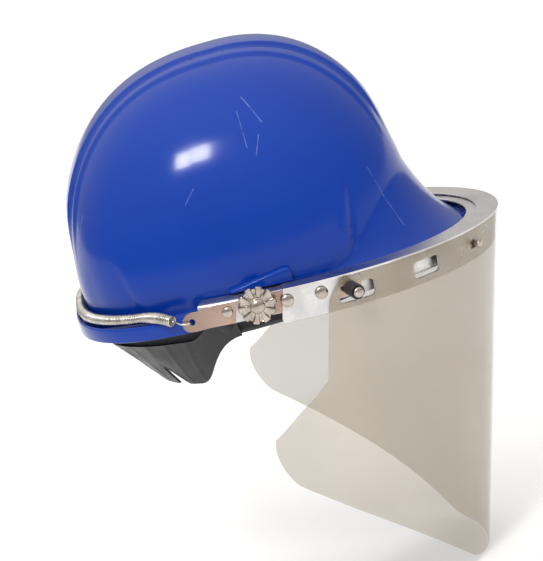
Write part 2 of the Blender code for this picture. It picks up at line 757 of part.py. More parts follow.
def make_washer(side):
    start = RING_HALF_WIDTH + BASE_OFFSET + 0.2 * MM
    thick = -BASE_OFFSET + ARM_OFFSET - SHEET_METAL - 0.4 * MM
    shape = washer_shape(side, start, thick, 4.6 * MM)
    return place_on_bracket(add_object("friction_washer_" + side_name(side), *shape, (FIBRE, 0.7, 0.0)))


def make_knob(side):
    """Star knob: a fluted disc with a bore for the bolt."""
    back = knob_back_x()
    count = 4 * KNOB_LOBES
    rings = []
    for along, scale, lobed in ((0.0, 0.90, 1), (0.7 * MM, 0.97, 1), (KNOB_THICK - 1.2 * MM, 1.0, 1),
                                (KNOB_THICK, 0.84, 1), (KNOB_THICK, 0.0, 0), (0.0, 0.0, 0)):
        ring = []
        for index in range(count):
            angle = math.tau * index / count
            flute = 1 - 0.07 * (1 - math.cos(KNOB_LOBES * angle)) if lobed else 1
            radius = KNOB_RADIUS * scale * flute if scale else BOLT_RADIUS + 0.3 * MM
            ring.append(Vector((side * (back + along), radius * math.cos(angle), radius * math.sin(angle))))
        rings.append(ring)
    shape = loft(rings, closed=True)
    return place_on_bracket(add_object("star_knob_" + side_name(side), *shape, (STEEL, 0.25, 1.0)))


def make_knob_nut(side):
    start = knob_back_x() + KNOB_THICK + 0.2 * MM
    profile = [(start, NUT_RADIUS), (start + 1.6 * MM, NUT_RADIUS), (start + 3.0 * MM, 4.2 * MM),
               (start + 3.9 * MM, 2.2 * MM)]
    shape = turned(Vector((0, 0, 0)), Vector((side, 0, 0)), profile, 16)
    return place_on_bracket(add_object("knob_nut_" + side_name(side), *shape, (STEEL, 0.22, 1.0)))


# ---------------------------------------------------------------- suspension
def band_point(angle, grow, height):
    x = (BAND_HALF_WIDTH + grow) * math.cos(angle)
    y = BAND_CENTRE_Y + (BAND_HALF_LENGTH + grow) * math.sin(angle)
    return Vector((x, y, height))


def make_headband():
    rings = []
    for index in range(40):
        angle = math.tau * index / 40
        rings.append([band_point(angle, grow, height) for grow, height in (
            (0.0, BAND_TOP), (0.0, BAND_TOP - BAND_HEIGHT),
            (-BAND_THICK, BAND_TOP - BAND_HEIGHT), (-BAND_THICK, BAND_TOP))])
    return add_object("headband", *loft(rings, closed=True), (DARK_PLASTIC, 0.5, 0.0))


def make_brow_pad():
    """Sweat pad along the front third of the headband, on its inner face."""
    rings = []
    for index in range(17):
        angle = -math.pi / 2 + math.radians(62) * (index - 8) / 8
        inner = -BAND_THICK - FIT_GAP
        rings.append([band_point(angle, grow, height) for grow, height in (
            (inner, BAND_TOP - 2 * MM), (inner, BAND_TOP - BAND_HEIGHT + 2 * MM),
            (inner - 2.6 * MM, BAND_TOP - BAND_HEIGHT + 3.5 * MM), (inner - 2.6 * MM, BAND_TOP - 3.5 * MM))])
    return add_object("brow_pad", *loft(rings), (SOFT_GREY, 0.9, 0.0))


def nape_point(angle, height, grow):
    """The nape strap leans in toward the neck as it drops below the headband."""
    high = BAND_TOP - BAND_HEIGHT
    drop = (high - height) / (high - NAPE_BOTTOM)
    across = BAND_HALF_WIDTH + 0.6 * MM + (NAPE_LOW_HALF_WIDTH - BAND_HALF_WIDTH) * drop + grow
    along = BAND_HALF_LENGTH + 0.6 * MM + (NAPE_LOW_LENGTH - BAND_HALF_LENGTH) * drop + grow
    return Vector((across * math.cos(angle), BAND_CENTRE_Y + along * math.sin(angle), height))


def make_nape_strap():
    """Ribbed strap under the rear brim, with a notch between its two lobes on each side."""
    rings = []
    count = 41
    for index in range(count):
        part = index / (count - 1)
        angle = math.radians(10 + 160 * part)
        from_end = min(part, 1 - part)
        lobe = smooth_step(0.0, 0.20, from_end)
        notch = 1 - smooth_step(0.0, 0.030, abs(from_end - 0.28))
        top = BAND_TOP - BAND_HEIGHT - 1 * MM + 15 * MM * (1 - smooth_step(0.03, 0.12, from_end))
        bottom = NAPE_END_BOTTOM + (NAPE_BOTTOM - NAPE_END_BOTTOM) * lobe
        bottom += (top - bottom) * 0.45 * notch
        rings.append([nape_point(angle, height, grow) for height, grow in (
            (top, NAPE_THICK), (bottom, NAPE_THICK), (bottom, 0.0), (top, 0.0))])
    strap = add_object("nape_strap", *loft(rings), (DARK_PLASTIC, 0.45, 0.0))
    cut(strap, nape_pin_holes())
    return move_origin(strap, Vector((0, NAPE_TILT_Y, NAPE_TILT_Z)))


def move_origin(item, origin):
    """Put an object's origin on its joint without moving the piece."""
    item.data.transform(Matrix.Translation(-origin))
    item.location = origin
    return item


def nape_pin_centre_x():
    """Outer face of the headband beside the nape strap's pins."""
    sine = (NAPE_TILT_Y - BAND_CENTRE_Y) / BAND_HALF_LENGTH
    return BAND_HALF_WIDTH * math.sqrt(1 - sine * sine)


def make_nape_pin(side):
    """Headed pin that the nape strap swings on."""
    face = nape_pin_centre_x()
    profile = [(face - 4.2 * MM, 4.0 * MM), (face - 3.0 * MM, 4.0 * MM), (face - 3.0 * MM, 2.2 * MM),
               (face + 8.4 * MM, 2.2 * MM), (face + 8.4 * MM, 4.2 * MM), (face + 9.8 * MM, 3.6 * MM)]
    shape = turned(Vector((0, NAPE_TILT_Y, NAPE_TILT_Z)), Vector((side, 0, 0)), profile, 14)
    return add_object("nape_pin_" + side_name(side), *shape, (DARK_PLASTIC, 0.4, 0.0))


def nape_pin_holes():
    shapes = []
    for side in (-1, 1):
        profile = [(60 * MM, 2.6 * MM), (90 * MM, 2.6 * MM)]
        shapes.append(turned(Vector((0, NAPE_TILT_Y, NAPE_TILT_Z)), Vector((side, 0, 0)), profile, 14))
    existing = bpy.data.objects.get("nape_pin_holes")
    return existing or add_tool("nape_pin_holes", shapes)


def key_outer_radius(angle):
    """Distance from the apex line to a hanging key's outer face, clear of the shell's wall."""
    return wall_radius(angle, KEY_MIDDLE_Z - KEY_HEIGHT / 2) - SHELL_THICK - KEY_WALL_GAP


def strap_foot_radius(angle):
    """Distance from the apex line to the strap's end, just inside its hanging key."""
    return key_outer_radius(angle) - KEY_THICK - FIT_GAP - STRAP_THICK


def make_crown_strap(number, angle, lift):
    """Webbing strap from one hanging key over the head to the opposite one."""
    rings = []
    count = 19
    near = strap_foot_radius(angle)
    far = strap_foot_radius(angle + math.pi)
    across = Vector((-math.sin(angle), math.cos(angle), 0)) * STRAP_WIDTH / 2
    for index in range(count):
        swing = math.pi * index / (count - 1)
        reach = near if index <= count // 2 else far
        spread = math.copysign(abs(math.cos(swing)) ** 0.8, math.cos(swing)) * reach
        rise = math.sin(swing) ** 0.8 * (STRAP_CROWN_Z + lift - KEY_MIDDLE_Z)
        middle = shell_point(angle, spread, KEY_MIDDLE_Z + rise)
        outward = Vector((math.cos(angle) * math.cos(swing), math.sin(angle) * math.cos(swing), math.sin(swing)))
        top = middle + outward * STRAP_THICK
        rings.append([middle - across, middle + across, top + across, top - across])
    return add_object("crown_strap_%d" % number, *loft(rings), (WEBBING, 0.85, 0.0))


def make_crown_pad():
    """Soft pad under the place where the straps cross."""
    profile = [(-4.5 * MM, 19 * MM), (-3.5 * MM, 23 * MM), (-1.5 * MM, 23 * MM), (-0.5 * MM, 20 * MM)]
    centre = Vector((0, APEX_Y, STRAP_CROWN_Z - 2 * FIT_GAP))
    return add_object("crown_pad", *turned(centre, Vector((0, 0, 1)), profile, 20), (SOFT_GREY, 0.9, 0.0))


def make_key(name, angle):
    """Hanging key: a block by the shell's wall, with a leg that reaches in to the headband."""
    outer = key_outer_radius(angle)
    inner = outer - KEY_THICK
    plan = shell_point(angle, 1.0, 0.0) - shell_point(angle, 0.0, 0.0)
    band = band_distance(angle) + FIT_GAP
    across = Vector((-plan.y, plan.x, 0)) * KEY_WIDTH / 2
    low = KEY_MIDDLE_Z - KEY_HEIGHT / 2
    section = [(outer, low), (outer, low + KEY_HEIGHT), (inner, low + KEY_HEIGHT), (inner, low + KEY_LEG),
               (band, low + KEY_LEG), (band, low)]
    rings = [[shell_point(angle, radius, height) + across * turn for radius, height in section]
             for turn in (-1, 1)]
    return add_object("hanger_key_" + name, *loft(rings), (DARK_PLASTIC, 0.45, 0.0))


def band_distance(angle):
    """Distance from the apex line to the headband's outer face, with room for the key's width."""
    best = 0.0
    direction = Vector((math.cos(angle), math.sin(angle)))
    across = Vector((-direction.y, direction.x))
    for turn in (-0.5, 0.0, 0.5):
        start = Vector((0, APEX_Y - BAND_CENTRE_Y)) + across * (KEY_WIDTH * turn)
        square = (direction.x / BAND_HALF_WIDTH) ** 2 + (direction.y / BAND_HALF_LENGTH) ** 2
        linear = 2 * (start.x * direction.x / BAND_HALF_WIDTH ** 2 + start.y * direction.y / BAND_HALF_LENGTH ** 2)
        constant = (start.x / BAND_HALF_WIDTH) ** 2 + (start.y / BAND_HALF_LENGTH) ** 2 - 1
        root = math.sqrt(linear * linear - 4 * square * constant)
        best = max(best, (root - linear) / (2 * square))
    return best


# ---------------------------------------------------------------- holes
def hole_shapes(y, height, radius, low, high):
    shapes = []
    for side in (-1, 1):
        profile = [(low, radius), (high, radius)]
        shapes.append(bracket_pin(run_at(y, side), height, profile))
    return shapes


def bracket_tool(name, shapes):
    return place_on_bracket(add_tool(name, shapes))


def fixed_holes():
    """Holes through the base frame and the ears: pivot bolts, ear rivets and spring hooks."""
    shapes = hole_shapes(0.0, 0.0, BOLT_RADIUS + FIT_GAP, -9 * MM, -4 * MM)
    shapes += hole_shapes(EAR_RIVET_Y, RIVET_Z, 1.7 * MM, -9 * MM, 0.0)
    shapes += hole_shapes(EAR_HOLE_Y, EAR_HOLE_Z, 2.2 * MM, -9 * MM, 0.0)
    return bracket_tool("fixed_holes", shapes)


def carrier_holes():
    """Holes through the arms, web and window: pivots, rivets, posts and studs."""
    shapes = hole_shapes(0.0, 0.0, BOLT_RADIUS + FIT_GAP, -4 * MM, 2 * MM)
    for y in RIVET_YS:
        shapes += hole_shapes(y, RIVET_Z, 1.8 * MM, -4 * MM, 2 * MM)
    shapes += hole_shapes(POST_Y, POST_Z, POST_RADIUS + FIT_GAP, -4 * MM, 2 * MM)
    shapes += hole_shapes(STUD_Y, STUD_Z, 1.9 * MM, -2.6 * MM, 2.6 * MM)
    return bracket_tool("carrier_holes", shapes)


def slot_holes():
    shapes = []
    for y, height, length in SLOTS:
        for side in (-1, 1):
            shapes.append(bracket_slot(run_at(y, side), height, length, SLOT_HEIGHT, 2.5 * MM))
    return bracket_tool("slot_holes", shapes)


# ---------------------------------------------------------------- assembly
def make_fixed_bracket():
    holes = fixed_holes()
    cut(make_base_frame(), holes)
    for side in (-1, 1):
        cut(make_ear(side), holes)
        make_ear_rivet(side)
        make_pivot_bolt(side)
        make_washer(side)
    make_spring()


def make_carrier():
    holes = carrier_holes()
    slots = slot_holes()
    for piece in (make_carrier_frame(), make_window()):
        cut(piece, slots)
        cut(piece, holes)
    for side in (-1, 1):
        cut(make_arm(side), holes)
        for number, y in enumerate(RIVET_YS, 1):
            make_carrier_rivet(side, number, y)
        make_post(side)
        make_sleeve(side)
        make_stud(side)
        make_knob(side)
        make_knob_nut(side)


def make_suspension():
    headband = make_headband()
    cut(headband, nape_pin_holes())
    make_brow_pad()
    make_nape_strap()
    for side in (-1, 1):
        make_nape_pin(side)
    diagonals = (STRAP_ANGLE, math.pi - STRAP_ANGLE)
    for number, angle in enumerate(diagonals, 1):
        make_crown_strap(number, angle, (number - 1) * (STRAP_THICK + 2 * FIT_GAP))
    make_crown_pad()
    corners = {"rear_left": STRAP_ANGLE, "rear_right": math.pi - STRAP_ANGLE,
               "front_right": math.pi + STRAP_ANGLE, "front_left": -STRAP_ANGLE}
    for name, angle in corners.items():
        make_key(name, angle)


clear_scene()
make_shell()
make_fixed_bracket()
make_carrier()
make_suspension()
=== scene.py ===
"""Looks for the slotted safety cap with its spring-held, lift-up face shield.

Metres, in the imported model's frame: +Z up, the wearer looks along -Y, +X is the wearer's left, and
the origin is in the brim plane on the line between the star knobs.  The sizes below repeat the CAD
source's, and each piece is a finer version of the CAD node that it replaces.
"""
import math

import bmesh
import bpy
from mathutils import Matrix, Vector


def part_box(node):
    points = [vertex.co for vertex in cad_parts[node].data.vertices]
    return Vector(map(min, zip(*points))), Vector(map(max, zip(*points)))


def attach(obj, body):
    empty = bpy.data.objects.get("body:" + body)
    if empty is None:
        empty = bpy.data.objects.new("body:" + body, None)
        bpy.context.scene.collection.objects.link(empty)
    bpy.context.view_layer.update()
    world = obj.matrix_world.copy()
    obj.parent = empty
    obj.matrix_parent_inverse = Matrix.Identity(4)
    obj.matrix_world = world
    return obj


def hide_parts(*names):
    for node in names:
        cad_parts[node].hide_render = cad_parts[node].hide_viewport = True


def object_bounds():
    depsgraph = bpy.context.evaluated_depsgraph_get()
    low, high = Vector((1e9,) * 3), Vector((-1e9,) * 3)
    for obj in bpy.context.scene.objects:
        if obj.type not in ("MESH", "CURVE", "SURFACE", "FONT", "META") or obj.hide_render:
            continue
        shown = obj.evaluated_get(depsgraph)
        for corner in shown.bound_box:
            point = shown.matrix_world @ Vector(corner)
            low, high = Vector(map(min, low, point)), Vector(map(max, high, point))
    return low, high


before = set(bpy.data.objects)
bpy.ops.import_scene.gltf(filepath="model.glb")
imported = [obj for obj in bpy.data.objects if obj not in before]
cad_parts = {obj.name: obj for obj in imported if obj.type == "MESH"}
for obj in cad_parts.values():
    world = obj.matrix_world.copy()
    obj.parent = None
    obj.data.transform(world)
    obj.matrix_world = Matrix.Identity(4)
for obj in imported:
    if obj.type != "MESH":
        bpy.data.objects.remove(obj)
CAD_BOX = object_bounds()

MM = 0.001

# ---------------------------------------------------------------- sizes, as in the CAD source
FIT_GAP = 0.3 * MM

APEX_Y = -15.6 * MM
SHELL_HEIGHT = 149.5 * MM
WALL_HALF_WIDTH = 95 * MM
WALL_REAR = 106.6 * MM
WALL_FRONT = 118.5 * MM
SHELL_THICK = 2.6 * MM
BRIM_HALF_WIDTH = 106 * MM
BRIM_REAR = 113 * MM
BILL_FRONT = 151 * MM
BRIM_TOP = 9.6 * MM
GUTTER_FLOOR = 6.5 * MM
LIP_WIDTH = 2.4 * MM
BILL_JOIN_TOP = 46 * MM
REAR_TUCK = 5 * MM
TUCK_TOP = 38 * MM
FRONT_SQUARENESS = 2.05
REAR_SQUARENESS = 2.6
CROWN_SQUARENESS = 2.42
PAD_REAR_Y = 14 * MM
PAD_FRONT_Y = -26 * MM
PAD_BOTTOM = 15.9 * MM
PAD_REAR_TOP = 18.6 * MM
PAD_FRONT_TOP = 23.4 * MM
PAD_FACE_X = 99.5 * MM
PAD_CHAMFER = 1.2 * MM

PIVOT_Z = 9.6 * MM
PITCH = math.radians(-4)
LEAN = math.radians(12)
RING_HALF_WIDTH = 115.4 * MM
RING_CENTRE_Y = -15 * MM
RING_REACH = 150 * MM
REAR_BEND_Y = 10 * MM
REAR_BEND_RADIUS = 110 * MM
SHEET_METAL = 1.5 * MM
FLANGE_METAL = 1.2 * MM

BASE_OFFSET = -4.7 * MM
BASE_TOP = 5.0 * MM
BASE_DEPTH = 14.6 * MM
BASE_FLANGE = 14.5 * MM
BASE_END_Y = 38 * MM

EAR_OFFSET = BASE_OFFSET + FIT_GAP + SHEET_METAL
EAR_HOLE_Y = 41 * MM
EAR_HOLE_Z = -4.0 * MM
EAR_HOLE_RADIUS = 2.0 * MM
EAR_START_Y = 13 * MM
EAR_TOP = 3.9 * MM
EAR_BOTTOM = -9.2 * MM
EAR_END_RADIUS = 6.2 * MM
EAR_RIVET_Y = 18.5 * MM

CARRIER_TOP = 6.5 * MM
CARRIER_DEPTH = 22 * MM
CARRIER_FLANGE = 13 * MM
CARRIER_LIP = 1.6 * MM
CARRIER_END_Y = -15.5 * MM
ARM_OFFSET = -1.8 * MM
ARM_TOP = 4.9 * MM
ARM_BOTTOM = -8.4 * MM
ARM_REAR_Y = 6.4 * MM
ARM_FRONT_Y = -67 * MM
RIVET_YS = (-19 * MM, -40 * MM)
RIVET_Z = -1.4 * MM
RIVET_SHANK = 1.4 * MM
RIVET_HEAD_RADIUS = 4.1 * MM
EAR_RIVET_HEAD_RADIUS = 3.55 * MM
SLOT_HEIGHT = 11 * MM
SLOTS = ((-63.5 * MM, -6.3 * MM, 24 * MM), (-109.5 * MM, -5.6 * MM, 20.5 * MM))   # y, z, length
POST_Y = -58.5 * MM
POST_Z = -3.0 * MM
POST_RADIUS = 3.2 * MM
POST_LENGTH = 21 * MM
SLEEVE_RADIUS = 4.7 * MM
STUD_Y = -143 * MM
STUD_Z = -4.6 * MM

WINDOW_THICK = 1.0 * MM
WINDOW_TOP = 5.0 * MM
WINDOW_HEIGHT = 219 * MM
WINDOW_REAR_Y = -45.5 * MM
WINDOW_CORNER = 12 * MM
WINDOW_FLAT_HALF = 50 * MM
WINDOW_CLIMB = 0.65
CLIMB_ROUNDING = 10 * MM
WING_TOP = -57.5 * MM
WING_FALL = 0.78
WING_TIP_Z = -88 * MM
WING_TIP_RADIUS = 18 * MM
WING_SPAN = 33 * MM

BOLT_RADIUS = 2.4 * MM
BOLT_HEAD_RADIUS = 3.5 * MM
KNOB_RADIUS = 12 * MM
KNOB_THICK = 4.4 * MM
KNOB_LOBES = 10
NUT_RADIUS = 5.2 * MM

SPRING_RADIUS = 3.6 * MM
SPRING_INSET = 5.0 * MM
SPRING_Z = 13.8 * MM
HOOK_WIRE_RADIUS = 0.6 * MM

BAND_HALF_WIDTH = 78 * MM
BAND_HALF_LENGTH = 97 * MM
BAND_CENTRE_Y = -3 * MM
BAND_TOP = 15 * MM
BAND_HEIGHT = 30 * MM
BAND_THICK = 1.6 * MM
NAPE_TILT_Y = 22 * MM
NAPE_TILT_Z = -6 * MM
NAPE_BOTTOM = -46 * MM
NAPE_END_BOTTOM = -16 * MM
NAPE_LOW_HALF_WIDTH = 67 * MM
NAPE_LOW_LENGTH = 72 * MM
NAPE_THICK = 1.8 * MM
NAPE_BORE_RADIUS = 2.6 * MM
NAPE_BORE_REACH = (60 * MM, 90 * MM)
STRAP_WIDTH = 19 * MM
STRAP_THICK = 1.3 * MM
STRAP_ANGLE = math.radians(38)
STRAP_CROWN_Z = 118 * MM
KEY_MIDDLE_Z = 24 * MM
KEY_HEIGHT = 20 * MM
KEY_THICK = 4.5 * MM
KEY_WALL_GAP = 3.4 * MM

# ---------------------------------------------------------------- finish sizes, only used here
SHELL_SEGMENTS = 440
CROWN_LEVELS = 100
CREST_INNER = (14 * MM, 17 * MM)      # the crest steps down between these distances from the middle
CREST_OUTER = (26 * MM, 29 * MM)
CREST_FADE_REAR = (38 * MM, 85 * MM)  # heights over which it rises out of the rear wall
CREST_FADE_FRONT = (62 * MM, 108 * MM)
CREST_INNER_RISE = 2.2 * MM
CREST_OUTER_RISE = 1.8 * MM
FLUTE_EDGE_Y = 78 * MM                # front edge of the flute at the height FLUTE_EDGE_Z
FLUTE_EDGE_Z = 45 * MM
FLUTE_LEAN = 0.28
FLUTE_BLEND = 3 * MM
FLUTE_REAR = (96 * MM, 104 * MM)
FLUTE_FADE = (24 * MM, 58 * MM)
FLUTE_DEPTH = 1.5 * MM
CREASE_Y = -75.5 * MM                 # line of the crease at the height CREASE_Z
CREASE_Z = 62 * MM
CREASE_LEAN = 0.17
CREASE_FOOT = (14 * MM, 24 * MM)
CREASE_FADE = (34 * MM, 66 * MM)
CREASE_DEPTH = 1.4 * MM
CREASE_HALF_WIDTH = 2.6 * MM
ROLL_RISE = 0.5 * MM
ROLL_GAP = 5.0 * MM
ROLL_HALF_WIDTH = 4.5 * MM
CORNER_HEIGHT = 14 * MM               # the wall's line here is where the gutter's curve turns
CORNER_INSET = 7 * MM
BILL_ARCH = 0.22                      # how much of the bill's drop its curve arches up again
BILL_SHARE = 0.30                     # how far out the bill's curve is drawn toward its lip
SWEEP_RINGS = 14
RING_STATIONS = 150
KNOB_VALLEY = 1.5 * MM                # depth between the knob's ribs
COIL_PITCH = 1.25 * MM
NAPE_LOBE_END = 0.20                  # these are shares of the strap's run, from either end
NAPE_NOTCH = 0.28
NAPE_NOTCH_HALF_WIDTH = 0.030
NAPE_RIBS = (0.13, 0.19, 0.25, 0.31, 0.37, 0.43)
NAPE_NOTCH_DEPTH = 0.45               # share of the strap's height
NAPE_PANEL_DEPTH = 0.55 * MM          # how far the panels between the ribs are sunk
COIL_WIRE = 0.60 * MM
EDGE_ROUNDING = 0.25 * MM

VIEW_TURN = math.radians(0.6)         # camera, turned this much toward the rear
VIEW_RISE = math.radians(13.8)
VIEW_ROLL = math.radians(16.0)
VIEW_DISTANCE = 2.14
VIEW_AIM = Vector((0, -13.7, -6.6)) * MM
VIEW_LENS = 212.6

WINDOW_LIGHT = Vector((-0.97, 0.26, 0.93))   # two panes of light seen in the crown's side
PANE_AIM = (-0.077, 0.005, 0.10)
PANE_SPACING = 0.085
PANE_SIZE = (0.155, 0.20)
PANE_POWER = 4.5
FLOOR_HALF_SIZE = 6.0
DOME_HORIZON = 0.42
DOME_TOP = 1.55

BLUE = (0.0015, 0.032, 0.27)
DEEP_BLUE = (0.0003, 0.018, 0.19)

SHELL_MIDDLE = Vector((0, APEX_Y, 30 * MM))

# scratches on the shell: start, end and width in millimetres
SHELL_SCRATCHES = (
    ((-60, -90, 61), (-59, -94, 45), 0.45), ((-59, -94, 45), (-59.5, -98, 31), 0.45),
    ((-59.5, -98, 31), (-61, -101, 19), 0.4), ((-60, -26, 126), (-71, -34, 109), 0.5),
    ((-66, -21, 119), (-79, -21, 98), 0.35), ((-75, -30, 103), (-81, -25, 92), 0.4),
    ((-84, 18, 84), (-86, 26, 76), 0.35), ((62, -60, 100), (70, -52, 84), 0.4),
    ((80, 30, 70), (84, 36, 56), 0.4), ((20, 84, 84), (30, 92, 66), 0.4),
    ((-40, 88, 78), (-36, 94, 62), 0.35), ((10, -88, 92), (16, -94, 80), 0.4),
)


# ---------------------------------------------------------------- mesh helpers
def smooth_step(low, high, value):
    part = min(1.0, max(0.0, (value - low) / (high - low)))
    return part * part * (3 - 2 * part)


def spaced(start, end, count):
    return [start + (end - start) * index / (count - 1) for index in range(count)]


def loft(rings, closed=False):
    """Vertices and faces of a skin through rings of equal length, capped unless it closes on itself."""
    count = len(rings[0])
    vertices = [point for ring in rings for point in ring]
    faces = []
    last = len(rings) if closed else len(rings) - 1
    for row in range(last):
        start = row * count
        following = (row + 1) % len(rings) * count
        for column in range(count):
            beside = (column + 1) % count
            faces.append((start + column, start + beside, following + beside, following + column))
    if not closed:
        faces.append(tuple(reversed(range(count))))
        faces.append(tuple(range(len(vertices) - count, len(vertices))))
    return vertices, faces


def joined(shapes):
    vertices, faces = [], []
    for some_vertices, some_faces in shapes:
        base = len(vertices)
        vertices.extend(some_vertices)
        faces.extend(tuple(base + index for index in face) for face in some_faces)
    return vertices, faces


def new_object(name, shape, look, sharp=35):
    """A smooth-shaded object whose normals point out; edges over `sharp` degrees stay crisp."""
    vertices, faces = shape
    mesh = bpy.data.meshes.new(name)
    mesh.from_pydata([tuple(vertex) for vertex in vertices], [], faces)
    mesh.validate()
    item = bpy.data.objects.new(name, mesh)
    bpy.context.scene.collection.objects.link(item)
    turn_outward(mesh)
    if look:
        mesh.materials.append(look)
    mesh.shade_smooth()
    mesh.set_sharp_from_angle(angle=math.radians(sharp))
    return item


def turn_outward(mesh):
    work = bmesh.new()
    work.from_mesh(mesh)
    bmesh.ops.recalc_face_normals(work, faces=work.faces)
    work.to_mesh(mesh)
    work.free()


def boolean_with(item, shapes, operation="DIFFERENCE"):
    """Cut closed shapes out of an object, or join them to it, and remove the tools."""
    for shape in shapes:
        tool = new_object(item.name + "_tool", shape, None)
        tool.matrix_world = item.matrix_world.copy()
        modifier = item.modifiers.new("boolean", "BOOLEAN")
        modifier.operation = operation
        modifier.solver = "EXACT"
        modifier.object = tool
        apply_modifiers(item)
        bpy.data.objects.remove(tool)


def apply_modifiers(item):
    bpy.context.view_layer.update()
    graph = bpy.context.evaluated_depsgraph_get()
    mesh = bpy.data.meshes.new_from_object(item.evaluated_get(graph))
    item.modifiers.clear()
    item.data = mesh
    mesh.shade_smooth()
    mesh.set_sharp_from_angle(angle=math.radians(35))


def round_edges(item, width=EDGE_ROUNDING, limit=40):
    modifier = item.modifiers.new("rounded_edges", "BEVEL")
    modifier.width = width
    modifier.segments = 2
    modifier.limit_method = "ANGLE"
    modifier.angle_limit = math.radians(limit)
    modifier.harden_normals = False
    return item


def settle(item, body, material_slot, *nodes):
    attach(item, body)
    if nodes:
        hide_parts(*nodes)
    return item


def side_name(side):
    return "left" if side > 0 else "right"


def turned(frame_matrix, profile, count=40):
    """Closed shape turned about a frame's X axis from (distance, radius) points."""
    rings = []
    for distance, radius in profile:
        ring = []
        for index in range(count):
            angle = math.tau * index / count
            point = Vector((distance, radius * math.cos(angle), radius * math.sin(angle)))
            ring.append(frame_matrix @ point)
        rings.append(ring)
    return loft(rings)


def dome(start, radius, rise, steps=7):
    """Profile points of a rounded head, from its rim at `start` to just short of its tip."""
    points = []
    for index in range(steps):
        angle = math.pi / 2 * index / steps
        points.append((start + rise * math.sin(angle), radius * math.cos(angle)))
    return points + [(start + rise, radius * 0.04)]


# ---------------------------------------------------------------- materials
class Look:
    """A Principled material and short ways to wire procedural detail into it."""

    def __init__(self, name, **sockets):
        self.material = bpy.data.materials.new(name)
        self.material.use_nodes = True
        self.tree = self.material.node_tree
        self.shader = self.tree.nodes["Principled BSDF"]
        for key, value in sockets.items():
            self.shader.inputs[key.replace("_", " ")].default_value = value
        self.place = self.add("ShaderNodeTexCoord").outputs["Object"]

    def add(self, kind, **properties):
        node = self.tree.nodes.new(kind)
        for key, value in properties.items():
            setattr(node, key, value)
        return node

    def link(self, output, target):
        self.tree.links.new(output, target)

    def stretched(self, scale):
        node = self.add("ShaderNodeMapping")
        node.inputs["Scale"].default_value = scale
        self.link(self.place, node.inputs["Vector"])
        return node.outputs["Vector"]

    def noise(self, scale, detail=4.0, vector=None, distortion=0.0, roughness=0.5):
        node = self.add("ShaderNodeTexNoise")
        node.inputs["Scale"].default_value = scale
        node.inputs["Detail"].default_value = detail
        node.inputs["Roughness"].default_value = roughness
        node.inputs["Distortion"].default_value = distortion
        self.link(vector or self.place, node.inputs["Vector"])
        return node.outputs["Fac"]

    def cells(self, scale):
        node = self.add("ShaderNodeTexVoronoi")
        node.inputs["Scale"].default_value = scale
        self.link(self.place, node.inputs["Vector"])
        return node.outputs["Distance"]

    def bands(self, direction, scale, distortion=0.0):
        node = self.add("ShaderNodeTexWave", wave_type="BANDS", bands_direction=direction)
        node.inputs["Scale"].default_value = scale
        node.inputs["Distortion"].default_value = distortion
        self.link(self.place, node.inputs["Vector"])
        return node.outputs["Fac"]

    def span(self, value, low, high, out_low=0.0, out_high=1.0):
        node = self.add("ShaderNodeMapRange", clamp=True)
        numbers = {"From Min": low, "From Max": high, "To Min": out_low, "To Max": out_high}
        for key, number in numbers.items():
            node.inputs[key].default_value = number
        self.link(value, node.inputs["Value"])
        return node.outputs["Result"]

    def maths(self, operation, first, second=0.0):
        node = self.add("ShaderNodeMath", operation=operation)
        for index, value in enumerate((first, second)):
            if isinstance(value, (int, float)):
                node.inputs[index].default_value = value
            else:
                self.link(value, node.inputs[index])
        return node.outputs[0]

    def blend(self, factor, first, second):
        """Colour mixed between two colours or colour outputs."""
        node = self.add("ShaderNodeMix", data_type="RGBA")
        self.link(factor, node.inputs["Factor"])
        for socket, value in ((node.inputs[6], first), (node.inputs[7], second)):
            if isinstance(value, tuple):
                socket.default_value = (*value, 1)
            else:
                self.link(value, socket)
        return node.outputs[2]

    def colour(self, output):
        self.link(output, self.shader.inputs["Base Color"])

    def roughness(self, output):
        self.link(output, self.shader.inputs["Roughness"])

    def bump(self, height, strength=0.3, distance=0.2 * MM):
        node = self.add("ShaderNodeBump")
        node.inputs["Strength"].default_value = strength
        node.inputs["Distance"].default_value = distance
        self.link(height, node.inputs["Height"])
        self.link(node.outputs["Normal"], self.shader.inputs["Normal"])

    def axes(self):
        node = self.add("ShaderNodeSeparateXYZ")
        self.link(self.place, node.inputs["Vector"])
        return node.outputs

    def vector_maths(self, operation, first, second):
        node = self.add("ShaderNodeVectorMath", operation=operation)
        for index, value in enumerate((first, second)):
            if isinstance(value, Vector):
                node.inputs[index].default_value = value
            else:
                self.link(value, node.inputs[index])
        return node.outputs["Value" if operation in ("DOT_PRODUCT", "LENGTH") else "Vector"]

    def hairline(self, start, end, width):
        """1 on a straight scratch between two points and 0 off it."""
        span = end - start
        from_start = self.vector_maths("SUBTRACT", self.place, start)
        along = self.vector_maths("DOT_PRODUCT", from_start, span / span.length_squared)
        along = self.span(along, 0.0, 1.0)
        reached = self.add("ShaderNodeVectorMath", operation="SCALE")
        reached.inputs[0].default_value = span
        self.link(along, reached.inputs["Scale"])
        off = self.vector_maths("SUBTRACT", from_start, reached.outputs["Vector"])
        outward = ((start + end) / 2 - SHELL_MIDDLE).normalized()
        across = outward.cross(span).normalized()
        distance = self.maths("ABSOLUTE", self.vector_maths("DOT_PRODUCT", off, across))
        past_end = self.maths("ABSOLUTE", self.vector_maths("DOT_PRODUCT", off, span.normalized()))
        distance = self.maths("ADD", distance, past_end)
        depth = self.maths("ABSOLUTE", self.vector_maths("DOT_PRODUCT", off, outward))
        distance = self.maths("ADD", distance, self.span(depth, 4 * MM, 5 * MM, 0.0, 9 * MM))
        wobble = self.maths("MULTIPLY", self.noise(90.0, 2.0), width)
        return self.span(self.maths("ADD", distance, wobble), width * 0.5, width * 1.5, 1.0, 0.0)


